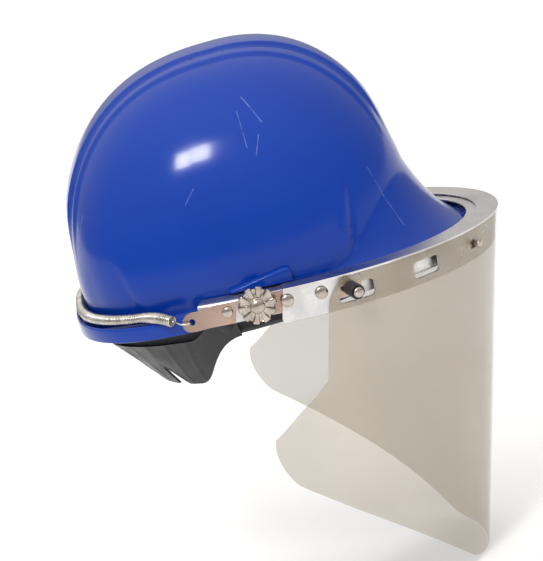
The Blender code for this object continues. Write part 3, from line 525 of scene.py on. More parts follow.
def shell_look():
    """Glossy moulded blue, a little scuffed, with fine hairline scratches."""
    look = Look("shell_blue", Roughness=0.2, Coat_Weight=0.08, Coat_Roughness=0.05, Specular_IOR_Level=0.22)
    tone = look.noise(9.0, 3.0)
    base = look.blend(look.span(tone, 0.3, 0.7), DEEP_BLUE, BLUE)
    base = look.blend(look.span(tone, 0.2, 0.5, 0.75, 1.0), base, BLUE)
    marks = 0.0
    for start, end, width in SHELL_SCRATCHES:
        line = look.hairline(Vector(start) * MM, Vector(end) * MM, width * MM)
        marks = look.maths("MAXIMUM", marks, line)
    marks = look.maths("MULTIPLY", marks, look.span(look.noise(160.0, 3.0), 0.3, 0.55))
    look.colour(look.blend(look.maths("MULTIPLY", marks, 0.55), base, (0.20, 0.28, 0.62)))
    haze = look.span(look.noise(18.0, 5.0), 0.35, 0.75, 0.10, 0.22)
    look.roughness(look.maths("ADD", haze, look.maths("MULTIPLY", marks, 0.3)))
    relief = look.maths("SUBTRACT", look.maths("MULTIPLY", look.noise(60.0, 2.0), 0.25), marks)
    look.bump(relief, 0.12, 0.08 * MM)
    return look.material


def sheet_look(name, bright, dark, roughness, streak=1.0):
    """Rolled sheet metal: streaks that run along the strip, smudges and small dark nicks."""
    look = Look(name, Metallic=1.0, Roughness=roughness)
    axis = look.axes()
    turn = look.maths("ARCTAN2", axis["X"], look.maths("MULTIPLY", axis["Y"], -1.0))
    along = look.add("ShaderNodeCombineXYZ")
    look.link(look.maths("MULTIPLY", turn, 0.012), along.inputs["X"])
    look.link(axis["Z"], along.inputs["Z"])
    grain = look.noise(1400.0, 3.0, along.outputs["Vector"])
    smudge = look.noise(26.0, 6.0, roughness=0.65)
    nicks = look.span(look.noise(75.0, 7.0, roughness=0.75), 0.66, 0.74)
    shade = look.blend(look.span(smudge, 0.42, 0.62), bright, dark)
    shade = look.blend(look.maths("MULTIPLY", nicks, 0.6), shade, (0.10, 0.09, 0.08))
    look.colour(look.blend(look.span(grain, 0.35, 0.65, 0.0, 0.16 * streak), shade, dark))
    low = look.span(smudge, 0.35, 0.7, roughness - 0.06, roughness + 0.12)
    look.roughness(look.maths("ADD", low, look.span(grain, 0.3, 0.7, -0.03, 0.05)))
    look.bump(look.maths("ADD", look.maths("MULTIPLY", grain, 0.5), nicks), 0.10 * streak, 0.06 * MM)
    return look.material


def steel_look(name, tint, roughness):
    """Bright turned steel with a brownish tone and faint wear."""
    look = Look(name, Metallic=1.0, Roughness=roughness)
    wear = look.noise(120.0, 5.0, roughness=0.6)
    darker = tuple(part * 0.62 for part in tint)
    look.colour(look.blend(look.span(wear, 0.35, 0.65), tint, darker))
    look.roughness(look.span(look.noise(300.0, 4.0), 0.3, 0.7, roughness - 0.05, roughness + 0.12))
    look.bump(look.noise(700.0, 3.0), 0.06, 0.05 * MM)
    return look.material


def plastic_look(name, tint, roughness, pale=0.5):
    """Moulded plastic: a fine pebbled surface, with pale rubbed patches."""
    look = Look(name, Roughness=roughness, Specular_IOR_Level=0.45)
    rub = look.span(look.noise(55.0, 5.0, roughness=0.6), 0.52, 0.72)
    lighter = tuple(part + 0.035 for part in tint)
    look.colour(look.blend(look.maths("MULTIPLY", rub, pale), tint, lighter))
    look.roughness(look.span(look.noise(90.0, 3.0), 0.3, 0.7, roughness - 0.08, roughness + 0.12))
    look.bump(look.cells(1500.0), 0.16, 0.08 * MM)
    return look.material


def webbing_look():
    """Woven strap: small ribs across the strap, broken by the warp threads."""
    look = Look("webbing", Roughness=0.9, Sheen_Weight=0.25, Sheen_Roughness=0.5)
    weave = look.maths("MULTIPLY", look.bands("Z", 190.0, 1.2), look.bands("DIAGONAL", 260.0))
    shade = look.blend(look.span(weave, 0.1, 0.8), (0.035, 0.036, 0.042), (0.11, 0.11, 0.125))
    fade = look.span(look.noise(30.0, 3.0), 0.4, 0.7, 0.0, 0.3)
    look.colour(look.blend(fade, shade, (0.16, 0.16, 0.17)))
    look.bump(weave, 0.6, 0.25 * MM)
    return look.material


def pad_look():
    """Brushed knit over foam."""
    look = Look("sweat_pad", Roughness=0.95, Sheen_Weight=0.4, Sheen_Roughness=0.6)
    knit = look.cells(900.0)
    tone = look.noise(45.0, 4.0)
    shade = look.blend(look.span(knit, 0.0, 0.6), (0.045, 0.046, 0.050), (0.15, 0.15, 0.16))
    look.colour(look.blend(look.span(tone, 0.45, 0.7, 0.0, 0.4), shade, (0.19, 0.185, 0.18)))
    look.bump(look.maths("ADD", knit, look.noise(260.0, 3.0)), 0.55, 0.3 * MM)
    return look.material


def window_look():
    """Clear sheet with a smoky beige tint, hazy smears and light scuffs."""
    look = Look("window_clear", Roughness=0.10, IOR=1.5, Specular_IOR_Level=0.6)
    haze = look.noise(7.0, 4.0, look.stretched((1.0, 1.0, 0.35)), 0.6)
    rub = look.noise(60.0, 6.0, look.stretched((0.4, 0.4, 1.6)), roughness=0.7)
    look.colour(look.blend(look.span(haze, 0.35, 0.65), (0.38, 0.31, 0.205), (0.31, 0.27, 0.195)))
    alpha = look.maths("ADD", look.span(haze, 0.3, 0.7, 0.30, 0.37), look.span(rub, 0.60, 0.80, 0.0, 0.05))
    look.link(alpha, look.shader.inputs["Alpha"])
    look.roughness(look.span(haze, 0.3, 0.7, 0.08, 0.16))
    return look.material


def rubber_look():
    look = Look("sleeve_rubber", Roughness=0.55, Specular_IOR_Level=0.4)
    bloom = look.span(look.noise(150.0, 5.0), 0.5, 0.75, 0.0, 0.5)
    look.colour(look.blend(bloom, (0.011, 0.011, 0.012), (0.045, 0.045, 0.047)))
    look.bump(look.noise(900.0, 3.0), 0.2, 0.08 * MM)
    return look.material


def fibre_look():
    look = Look("washer_fibre", Roughness=0.8)
    threads = look.noise(500.0, 5.0)
    look.colour(look.blend(look.span(threads, 0.35, 0.65), (0.13, 0.06, 0.035), (0.26, 0.14, 0.08)))
    look.bump(threads, 0.3, 0.1 * MM)
    return look.material


def floor_look():
    look = Look("floor", Roughness=0.75)
    look.colour(look.blend(look.noise(1.5, 2.0), (0.93, 0.93, 0.93), (0.95, 0.95, 0.95)))
    return look.material


# ---------------------------------------------------------------- shell
def oval_radius(angle, half_width, front, rear):
    """Plan radius of an oval about the apex line; angle 0 is +X and 90 degrees is the rear."""
    reach = rear if math.sin(angle) > 0 else front
    power = REAR_SQUARENESS if math.sin(angle) > 0 else FRONT_SQUARENESS
    across = abs(math.cos(angle) / half_width) ** power
    along = abs(math.sin(angle) / reach) ** power
    return (across + along) ** (-1 / power)


def wall_radius(angle, height):
    """Plan radius of the shell's outer wall at a height above the brim plane."""
    radius = oval_radius(angle, WALL_HALF_WIDTH, WALL_FRONT + APEX_Y, WALL_REAR - APEX_Y)
    rearward = math.sin(angle)
    ratio = min(1.0, height / SHELL_HEIGHT)
    radius *= (1 - ratio ** CROWN_SQUARENESS) ** (1 / CROWN_SQUARENESS)
    tuck = max(0.0, 1 - height / TUCK_TOP) ** 2
    return radius - REAR_TUCK * tuck * smooth_step(0.1, 0.9, rearward)


def brim_radius(angle):
    return oval_radius(angle, BRIM_HALF_WIDTH, BILL_FRONT + APEX_Y, BRIM_REAR - APEX_Y)


def shell_point(angle, radius, height):
    return Vector((radius * math.cos(angle), APEX_Y + radius * math.sin(angle), height))


def wall_foot(angle):
    """Height at which the wall meets the gutter, or the bill at the front."""
    frontness = smooth_step(0.35, 1.0, -math.sin(angle))
    return BRIM_TOP + 2.5 * MM + (BILL_JOIN_TOP - BRIM_TOP) * frontness


def brim_top(angle):
    """Height of the brim's top edge, which droops toward the front with the bracket."""
    y = APEX_Y + brim_radius(angle) * math.sin(angle)
    return BRIM_TOP + max(0.0, -y) * math.tan(PITCH)


def rearness(angle):
    return smooth_step(0.25, 0.6, math.sin(angle))


def billness(angle):
    return smooth_step(0.2, 0.8, -math.sin(angle))


def floor_height(angle):
    return brim_top(angle) - (BRIM_TOP - GUTTER_FLOOR) * rearness(angle)


def lip_foot(angle):
    """Where the gutter's floor starts to turn up into the lip."""
    return floor_height(angle) + 1.0 * MM * rearness(angle)


def brim_bottom(angle):
    return (brim_top(angle) - BRIM_TOP) * billness(angle)


def crown_angles():
    return [math.tau * index / SHELL_SEGMENTS for index in range(SHELL_SEGMENTS)]


def crown_ring(level, inward):
    """One level of the plain crown; level runs from the wall's foot to the apex."""
    ring = []
    for angle in crown_angles():
        foot = wall_foot(angle)
        height = foot + (SHELL_HEIGHT - foot) * math.sin(level) ** 0.9
        radius = max(0.4 * MM, wall_radius(angle, height) - inward)
        ring.append(shell_point(angle, radius, height - inward))
    return ring


def sweep_ring(part, inward, drop):
    """The hollow curve from the wall's foot, at part 0, out to the brim's lip, at part 1."""
    ring = []
    for angle in crown_angles():
        outline = brim_radius(angle)
        foot = wall_foot(angle)
        corner = min(wall_radius(angle, CORNER_HEIGHT), outline - CORNER_INSET)
        arch = BILL_ARCH * (foot - brim_top(angle)) * billness(angle)
        corner += (outline - corner) * BILL_SHARE * billness(angle)
        weights = ((1 - part) ** 2, 2 * part * (1 - part), part ** 2)
        radii = (wall_radius(angle, foot), corner, outline - LIP_WIDTH - 0.8 * MM)
        heights = (foot, floor_height(angle) + arch, floor_height(angle))
        radius = sum(weight * value for weight, value in zip(weights, radii))
        height = sum(weight * value for weight, value in zip(weights, heights))
        ring.append(shell_point(angle, radius - inward * (1 - part), height - drop * part))
    return ring


def brim_ring(reach_back, height_function, lift=0.0):
    ring = []
    for angle in crown_angles():
        radius = brim_radius(angle) - reach_back
        ring.append(shell_point(angle, radius, height_function(angle) + lift))
    return ring


def ridge(distance, half_width):
    """A rounded ridge's profile: 1 on its line and 0 beyond its half width."""
    return max(0.0, 1 - (distance / half_width) ** 2) ** 2


def crown_relief(point):
    """How far the moulded crest, flutes and creases stand off the plain crown, along its normal."""
    across = abs(point.x)
    crest = CREST_INNER_RISE * (1 - smooth_step(*CREST_INNER, across))
    crest += CREST_OUTER_RISE * (1 - smooth_step(*CREST_OUTER, across))
    fade_start, fade_end = CREST_FADE_REAR if point.y > 0 else CREST_FADE_FRONT
    relief = crest * smooth_step(fade_start, fade_end, point.z)
    # flute behind each ear: a shallow panel whose front edge leans forward as it goes down
    edge = FLUTE_EDGE_Y - FLUTE_LEAN * (FLUTE_EDGE_Z - point.z)
    inside = smooth_step(edge - FLUTE_BLEND, edge + FLUTE_BLEND, point.y)
    inside *= 1 - smooth_step(*FLUTE_REAR, point.y)
    relief -= FLUTE_DEPTH * inside * (1 - smooth_step(*FLUTE_FADE, point.z))
    # crease down each side, ahead of the ears, with a low roll behind it
    line = CREASE_Y + CREASE_LEAN * (CREASE_Z - point.z)
    depth = smooth_step(*CREASE_FOOT, point.z) * (1 - smooth_step(*CREASE_FADE, point.z))
    relief -= CREASE_DEPTH * ridge(point.y - line, CREASE_HALF_WIDTH) * depth
    relief += ROLL_RISE * ridge(point.y - line - ROLL_GAP, ROLL_HALF_WIDTH) * depth
    return relief


def raise_relief(rings):
    """Move the crown's rings out along their own normals by the relief."""
    moved = []
    for row, ring in enumerate(rings):
        above = rings[max(0, row - 1)]
        below = rings[min(len(rings) - 1, row + 1)]
        count = len(ring)
        new_ring = []
        for index, point in enumerate(ring):
            around = ring[(index + 1) % count] - ring[index - 1]
            normal = around.cross(above[index] - below[index])
            if normal.length < 1e-12:
                normal = Vector((0, 0, 1))
            new_ring.append(point + normal.normalized() * crown_relief(point))
        moved.append(new_ring)
    return moved


def pad_shape(side):
    """Hood over an accessory slot: it rises toward the front, flat on its outer face."""
    rings = []
    for x, inset in ((93.4 * MM, 0.0), (PAD_FACE_X - 2 * MM, 0.0), (PAD_FACE_X - 1 * MM, 0.3 * MM),
                     (PAD_FACE_X - 0.3 * MM, 0.75 * MM), (PAD_FACE_X, PAD_CHAMFER)):
        rear = PAD_REAR_Y - inset
        front = PAD_FRONT_Y + inset
        low_rear = PAD_BOTTOM - rear * math.tan(PITCH)
        low_front = PAD_BOTTOM - front * math.tan(PITCH)
        top = PAD_FRONT_TOP - inset
        outline = [(front, low_front), (rear, low_rear), (rear, PAD_REAR_TOP - inset),
                   (front + 5 * MM, top), (front + 1 * MM, top - 0.6 * MM), (front, top - 2.5 * MM)]
        rings.append([Vector((side * x, y, z)) for y, z in outline])
    return loft(rings)


def make_shell(look):
    levels = spaced(0.0, math.radians(88.5), CROWN_LEVELS)
    levels += [math.radians(part) for part in (89.3, 89.7, 89.9)]
    crown = raise_relief([crown_ring(level, 0.0) for level in reversed(levels)])
    outer = crown + [sweep_ring(part / SWEEP_RINGS, 0.0, 0.0) for part in range(1, SWEEP_RINGS + 1)]
    outer.append(brim_ring(LIP_WIDTH, lip_foot))
    for reach_back, lift in ((2.0, -0.5), (1.5, -0.12), (0.9, 0.0), (0.4, -0.25), (0.1, -0.8), (0.0, -1.6)):
        outer.append(brim_ring(reach_back * MM, brim_top, lift * MM))
    outer.append(brim_ring(0.0, brim_bottom, 1.0 * MM))
    outer.append(brim_ring(0.3 * MM, brim_bottom, 0.3 * MM))
    outer.append(brim_ring(0.9 * MM, brim_bottom))
    inner = [brim_ring(LIP_WIDTH, brim_bottom)]
    inner.append(brim_ring(LIP_WIDTH + 1.2 * MM, floor_height, -SHELL_THICK))
    inner.extend(sweep_ring(part / 8, SHELL_THICK, SHELL_THICK) for part in range(7, 0, -1))
    inner.extend(crown_ring(level, SHELL_THICK) for level in levels[2:-3:3])
    shell = new_object("shell_skin", loft(outer + inner), look, sharp=50)
    boolean_with(shell, [pad_shape(side) for side in (-1, 1)], "UNION")
    return settle(shell, "helmet", "shell", "shell")


# ---------------------------------------------------------------- bracket curve
def ring_frame(run, offset=0.0):
    """Plan point and outward normal of the bracket at a distance along its outer curve."""
    side = 1 if run >= 0 else -1
    distance = abs(run)
    bend_start = RING_TABLE[-1][0] + REAR_BEND_Y - RING_CENTRE_Y
    if distance >= bend_start:
        turn = (distance - bend_start) / REAR_BEND_RADIUS
        normal = Vector((math.cos(turn), math.sin(turn)))
        point = Vector((RING_HALF_WIDTH - REAR_BEND_RADIUS, REAR_BEND_Y)) + normal * REAR_BEND_RADIUS
    elif distance >= RING_TABLE[-1][0]:
        point = Vector((RING_HALF_WIDTH, RING_CENTRE_Y + distance - RING_TABLE[-1][0]))
        normal = Vector((1, 0))
    else:
        low_index, high_index = 0, len(RING_TABLE) - 1
        while high_index - low_index > 1:
            middle = (low_index + high_index) // 2
            if RING_TABLE[middle][0] > distance:
                high_index = middle
            else:
                low_index = middle
        low, high = RING_TABLE[low_index], RING_TABLE[high_index]
        ratio = (distance - low[0]) / (high[0] - low[0])
        angle = low[1] + (high[1] - low[1]) * ratio
        point = Vector((RING_HALF_WIDTH * math.sin(angle), RING_CENTRE_Y - RING_REACH * math.cos(angle)))
        normal = Vector((RING_REACH * math.sin(angle), -RING_HALF_WIDTH * math.cos(angle))).normalized()
    point += normal * offset
    return Vector((side * point.x, point.y)), Vector((side * normal.x, normal.y))


def ring_arc_table(steps=240):
    """Arc length against ellipse angle, from the front centre to the widest point."""
    table = [(0.0, 0.0)]
    for index in range(1, steps + 1):
        angle = math.pi / 2 * index / steps
        middle = angle - math.pi / 4 / steps
        speed = math.hypot(RING_HALF_WIDTH * math.cos(middle), RING_REACH * math.sin(middle))
        table.append((table[-1][0] + speed * math.pi / 2 / steps, angle))
    return table


RING_TABLE = ring_arc_table()


def run_at(y, side=1):
    """Distance along the outer curve at which it passes a y value."""
    if y >= REAR_BEND_Y:
        bend = math.asin((y - REAR_BEND_Y) / REAR_BEND_RADIUS) * REAR_BEND_RADIUS
        return side * (RING_TABLE[-1][0] + REAR_BEND_Y - RING_CENTRE_Y + bend)
    if y >= RING_CENTRE_Y:
        return side * (RING_TABLE[-1][0] + y - RING_CENTRE_Y)
    angle = math.acos((RING_CENTRE_Y - y) / RING_REACH)
    index = min(len(RING_TABLE) - 1, round(angle / (math.pi / 2) * (len(RING_TABLE) - 1)))
    return side * RING_TABLE[index][0]


ON_BRACKET = Matrix.Translation((0, 0, PIVOT_Z)) @ Matrix.Rotation(-PITCH, 4, "X")


def bracket_point(run, offset, height):
    plan, _ = ring_frame(run, offset)
    return ON_BRACKET @ Vector((plan.x, plan.y - height * math.tan(LEAN), height))


def bracket_sweep(runs, section):
    return loft([[bracket_point(run, offset, height) for offset, height in section] for run in runs])


def bracket_frame(run, height):
    """Frame on the bracket whose X axis points straight out of the sheet."""
    _, normal = ring_frame(run)
    out = Vector((normal.x, normal.y, 0))
    along = Vector((-normal.y, normal.x, 0))
    axes = Matrix((out, along, out.cross(along))).transposed().to_4x4()
    plan, _ = ring_frame(run)
    centre = Vector((plan.x, plan.y - height * math.tan(LEAN), height))
    return ON_BRACKET @ Matrix.Translation(centre) @ axes


def frame_runs(end_y, count):
    end = run_at(end_y)
    return spaced(-end, end, count)


def rounded_slot(run, height, length, tall, corner, reach=(-8 * MM, 6 * MM)):
    """A cutter with rounded corners, square to the sheet."""
    place = bracket_frame(run, height)
    outline = []
    for turn_y, turn_z, start in ((1, 1, 0), (-1, 1, 90), (-1, -1, 180), (1, -1, 270)):
        for step in range(7):
            angle = math.radians(start + 15 * step)
            outline.append((turn_y * (length / 2 - corner) + corner * math.cos(angle),
                            turn_z * (tall / 2 - corner) + corner * math.sin(angle)))
    return loft([[place @ Vector((x, y, z)) for y, z in outline] for x in reach])


# ---------------------------------------------------------------- bracket pieces
def folded_section(outer, top, bottom, sheet, flange_end, flange_metal, lip=0.0):
    """Section of a web with a flange folded in at its top, with a rounded fold."""
    bend = 1.6 * MM
    points = []
    if lip:
        points += [(outer + lip, top - 0.25 * MM), (outer + lip, top - flange_metal),
                   (outer, top - flange_metal)]
    else:
        for step in range(6):
            angle = math.radians(90 - 18 * step)
            points.append((outer - bend + bend * math.cos(angle), top - bend + bend * math.sin(angle)))
    soft = 0.3 * MM
    under = top - flange_metal
    points += [(outer, bottom + soft), (outer - soft, bottom), (outer - sheet + soft, bottom),
               (outer - sheet, bottom + soft), (outer - sheet, under - 0.8 * MM),
               (outer - sheet - 0.8 * MM, under), (flange_end + soft, under), (flange_end, under + soft),
               (flange_end, top - soft), (flange_end + soft, top)]
    if lip:
        points.append((outer + lip - soft, top))
    return points


def make_base_frame(look):
    section = folded_section(BASE_OFFSET, BASE_TOP, BASE_TOP - BASE_DEPTH, SHEET_METAL,
                             BASE_OFFSET - BASE_FLANGE, FLANGE_METAL)
    shape = bracket_sweep(frame_runs(BASE_END_Y, RING_STATIONS), section)
    item = new_object("base_frame_sheet", shape, look)
    return settle(item, "helmet", "aluminium", "base_frame")


def make_carrier_frame(look):
    section = folded_section(0.0, CARRIER_TOP, CARRIER_TOP - CARRIER_DEPTH, SHEET_METAL,
                             -CARRIER_FLANGE, FLANGE_METAL, CARRIER_LIP)
    shape = bracket_sweep(frame_runs(CARRIER_END_Y, RING_STATIONS), section)
    item = new_object("carrier_frame_sheet", shape, look)
    boolean_with(item, fixing_cutters() + [web_corner(side) for side in (-1, 1)])
    return settle(item, "visor_carrier", "aluminium", "carrier_frame")


def fixing_cutters():
    """Slots and stud holes that pass through both the web and the window."""
    cutters = []
    for side in (-1, 1):
        for y, height, length in SLOTS:
            cutters.append(rounded_slot(run_at(y, side), height, length, SLOT_HEIGHT, 3.4 * MM))
        cutters.append(rounded_slot(run_at(STUD_Y, side), STUD_Z, 9 * MM, 6 * MM, 2.9 * MM))
    return cutters


def web_corner(side):
    """Cutter that rounds the lower rear corner of the carrier's web."""
    radius = 4 * MM
    end = abs(run_at(CARRIER_END_Y))
    bottom = CARRIER_TOP - CARRIER_DEPTH
    outline = [(end + 2 * MM, bottom - 2 * MM), (end + 2 * MM, bottom + radius)]
    for step in range(7):
        angle = math.radians(-15 * step)
        outline.append((end - radius + radius * math.cos(angle), bottom + radius + radius * math.sin(angle)))
    outline.append((end - radius, bottom - 2 * MM))
    return loft([[bracket_point(side * run, offset, height) for run, height in outline]
                 for offset in (-5 * MM, 4 * MM)])


def make_arm(side, look):
    section = [(ARM_OFFSET, ARM_TOP), (ARM_OFFSET, ARM_BOTTOM),
               (ARM_OFFSET - SHEET_METAL, ARM_BOTTOM), (ARM_OFFSET - SHEET_METAL, ARM_TOP)]
    runs = spaced(run_at(ARM_REAR_Y, side), run_at(ARM_FRONT_Y, side), 40)
    item = new_object("carrier_arm_strip_" + side_name(side), bracket_sweep(runs, section), look)
    bore = 2 * BOLT_RADIUS + 0.8 * MM
    boolean_with(item, [rounded_slot(run_at(0, side), 0, bore, bore, BOLT_RADIUS + 0.35 * MM)])
    round_edges(item)
    return settle(item, "visor_carrier", "steel", "carrier_arm_" + side_name(side))


def make_ear(side, look):
    """Plate that carries the spring hook, with a round rear end and a hole."""
    rings = []
    stations = spaced(EAR_START_Y, EAR_HOLE_Y, 18)
    ends = (0.2, 0.4, 0.58, 0.73, 0.85, 0.93, 0.98, 0.999)
    stations += [EAR_HOLE_Y + EAR_END_RADIUS * part for part in ends]
    for y in stations:
        taper = smooth_step(EAR_HOLE_Y - 14 * MM, EAR_HOLE_Y - 2 * MM, y)
        top = EAR_TOP + (EAR_HOLE_Z + EAR_END_RADIUS - EAR_TOP) * taper
        bottom = EAR_BOTTOM + (EAR_HOLE_Z - EAR_END_RADIUS - EAR_BOTTOM) * taper
        if y > EAR_HOLE_Y:
            half = math.sqrt(EAR_END_RADIUS ** 2 - (y - EAR_HOLE_Y) ** 2)
            top = EAR_HOLE_Z + half
            bottom = EAR_HOLE_Z - half
        run = run_at(y, side)
        rings.append([bracket_point(run, EAR_OFFSET - back, height) for back, height in (
            (0.0, top), (0.0, bottom), (SHEET_METAL, bottom), (SHEET_METAL, top))])
    item = new_object("spring_ear_plate_" + side_name(side), loft(rings), look)
    across = 2 * EAR_HOLE_RADIUS
    hole = rounded_slot(run_at(EAR_HOLE_Y, side), EAR_HOLE_Z, across, across, EAR_HOLE_RADIUS - 1e-6)
    boolean_with(item, [hole])
    round_edges(item)
    return settle(item, "helmet", "steel", "spring_ear_" + side_name(side))


def make_head(name, y, side, profile, look, body):
    """A rivet in the bracket, which replaces the CAD node of the same name."""
    place = bracket_frame(run_at(y, side), RIVET_Z)
    item = new_object("head_" + name, turned(place, profile), look)
    return settle(item, body, "steel", name)


def make_rivets(look):
    for side in (-1, 1):
        for number, y in enumerate(RIVET_YS, 1):
            back = ARM_OFFSET - SHEET_METAL - FIT_GAP
            profile = [(back - 0.9 * MM, 2.2 * MM), (back - 0.6 * MM, 3.0 * MM), (back, 3.2 * MM),
                       (back, RIVET_SHANK), (FIT_GAP, RIVET_SHANK), (FIT_GAP, RIVET_HEAD_RADIUS)]
            profile += dome(0.7 * MM, RIVET_HEAD_RADIUS, 1.6 * MM)
            name = "carrier_rivet_%s_%d" % (side_name(side), number)
            make_head(name, y, side, profile, look, "visor_carrier")
        face = EAR_OFFSET + FIT_GAP
        back = BASE_OFFSET - SHEET_METAL - FIT_GAP
        profile = [(back - 0.8 * MM, 2.3 * MM), (back - 0.2 * MM, 2.6 * MM), (back, 2.6 * MM),
                   (back, RIVET_SHANK), (face, RIVET_SHANK), (face, EAR_RIVET_HEAD_RADIUS)]
        profile += dome(face + 0.35 * MM, EAR_RIVET_HEAD_RADIUS, 1.4 * MM)
        make_head("ear_rivet_" + side_name(side), EAR_RIVET_Y, side, profile, look, "helmet")


def make_posts(steel, rubber):
    back = ARM_OFFSET - SHEET_METAL - FIT_GAP
    for side in (-1, 1):
        name = "window_post_" + side_name(side)
        place = bracket_frame(run_at(POST_Y, side), POST_Z)
        end = POST_LENGTH - 3 * MM
        profile = [(back - 1.2 * MM, 3.0 * MM), (back - 0.9 * MM, 3.3 * MM), (back, 3.3 * MM),
                   (back, 1.8 * MM), (1.0 * MM, 1.8 * MM), (1.6 * MM, POST_RADIUS),
                   (end - 0.5 * MM, POST_RADIUS)]
        profile += dome(end - 0.5 * MM, POST_RADIUS, 1.0 * MM, 5)
        item = new_object("post_" + side_name(side), turned(place, profile), steel)
        settle(item, "visor_carrier", "steel", name)
        bore = POST_RADIUS + 0.15 * MM
        edge = SLEEVE_RADIUS - 0.4 * MM
        sleeve = [(1.9 * MM, bore), (1.9 * MM, edge), (2.3 * MM, SLEEVE_RADIUS),
                  (end - 3.4 * MM, SLEEVE_RADIUS), (end - 3.0 * MM, edge), (end - 3.0 * MM, bore)]
        sleeve_item = new_object("sleeve_" + side_name(side), hollow(place, sleeve), rubber)
        settle(sleeve_item, "visor_carrier", "rubber", "post_sleeve_" + side_name(side))


def hollow(place, profile, count=40):
    """Closed tube turned about a frame's X axis from a closed (distance, radius) section."""
    rings = []
    for index in range(count):
        angle = math.tau * index / count
        rings.append([place @ Vector((distance, radius * math.cos(angle), radius * math.sin(angle)))
                      for distance, radius in profile])
    return loft(rings, closed=True)


def make_studs(look):
    """Short hooked studs that hold the window's front."""
    for side in (-1, 1):
        place = bracket_frame(run_at(STUD_Y, side), STUD_Z)
        foot = -SHEET_METAL - FIT_GAP
        profile = [(foot - 0.8 * MM, 2.4 * MM), (foot, 2.6 * MM), (foot, 1.5 * MM), (2.0 * MM, 1.5 * MM),
                   (4.2 * MM, 1.6 * MM), (4.6 * MM, 2.3 * MM)] + dome(5.0 * MM, 2.3 * MM, 1.0 * MM, 5)
        item = new_object("stud_" + side_name(side), turned(place, profile), look)
        settle(item, "visor_carrier", "steel", "front_stud_" + side_name(side))


# ---------------------------------------------------------------- window
def window_limits(run):
    """Top and bottom of the window at a distance along the curve from the front centre."""
    distance = abs(run)
    rear = run_at(WINDOW_REAR_Y)
    top = WINDOW_TOP
    if distance > rear - WINDOW_CORNER:
        into = min(1.0, (distance - rear + WINDOW_CORNER) / WINDOW_CORNER)
        top -= WINDOW_CORNER * 1.6 * (1 - math.sqrt(1 - into * into))
    if distance > rear:
        top = WING_TOP - WING_FALL * (distance - rear) - 2 * MM * smooth_step(0, 8 * MM, distance - rear)
    past = distance - WINDOW_FLAT_HALF
    climb = (past + math.hypot(past, CLIMB_ROUNDING)) / 2
    bottom = WINDOW_TOP - WINDOW_HEIGHT + WINDOW_CLIMB * climb
    tip = rear + WING_SPAN
    if distance > tip - WING_TIP_RADIUS:
        into = min(1.0, (distance - tip + WING_TIP_RADIUS) / WING_TIP_RADIUS)
        closing = 1 - math.sqrt(1 - into * into)
        bottom += (WING_TIP_Z - 0.8 * MM - bottom) * closing
        top += (WING_TIP_Z + 0.8 * MM - top) * closing
    return top, bottom


def make_window(look):
    rear = run_at(WINDOW_REAR_Y)
    half = spaced(0.0, rear - WINDOW_CORNER, 80)
    half += [rear - WINDOW_CORNER * part for part in (0.85, 0.7, 0.55, 0.42, 0.3, 0.2, 0.12, 0.06, 0.02)]
    half += [rear - 0.02 * MM, rear + 0.05 * MM]
    half += [rear + WING_SPAN * part for part in (
        0.03, 0.07, 0.12, 0.18, 0.25, 0.32, 0.4, 0.48, 0.55, 0.62, 0.68, 0.74, 0.79, 0.84, 0.88, 0.92,
        0.95, 0.975, 0.99, 0.998)]
    runs = [-run for run in reversed(half[1:])] + half
    rows = 14
    low = FIT_GAP
    high = FIT_GAP + WINDOW_THICK
    rings = []
    for run in runs:
        top, bottom = window_limits(run)
        heights = spaced(top, bottom, rows + 1)
        outside = [bracket_point(run, high, height) for height in heights]
        inside = [bracket_point(run, low, height) for height in reversed(heights)]
        rings.append(outside + inside)
    item = new_object("window_sheet", loft(rings), look, sharp=40)
    boolean_with(item, fixing_cutters())
    return settle(item, "visor_carrier", "window", "visor_window")


# ---------------------------------------------------------------- pivots
def side_frame(side, y, z):
    """Frame on a line across the hat, whose X axis points out to one side."""
    return Matrix.Translation((0, y, z)) @ Matrix.Diagonal((side, 1, 1, 1))


def knob_back_x():
    return RING_HALF_WIDTH + ARM_OFFSET + FIT_GAP


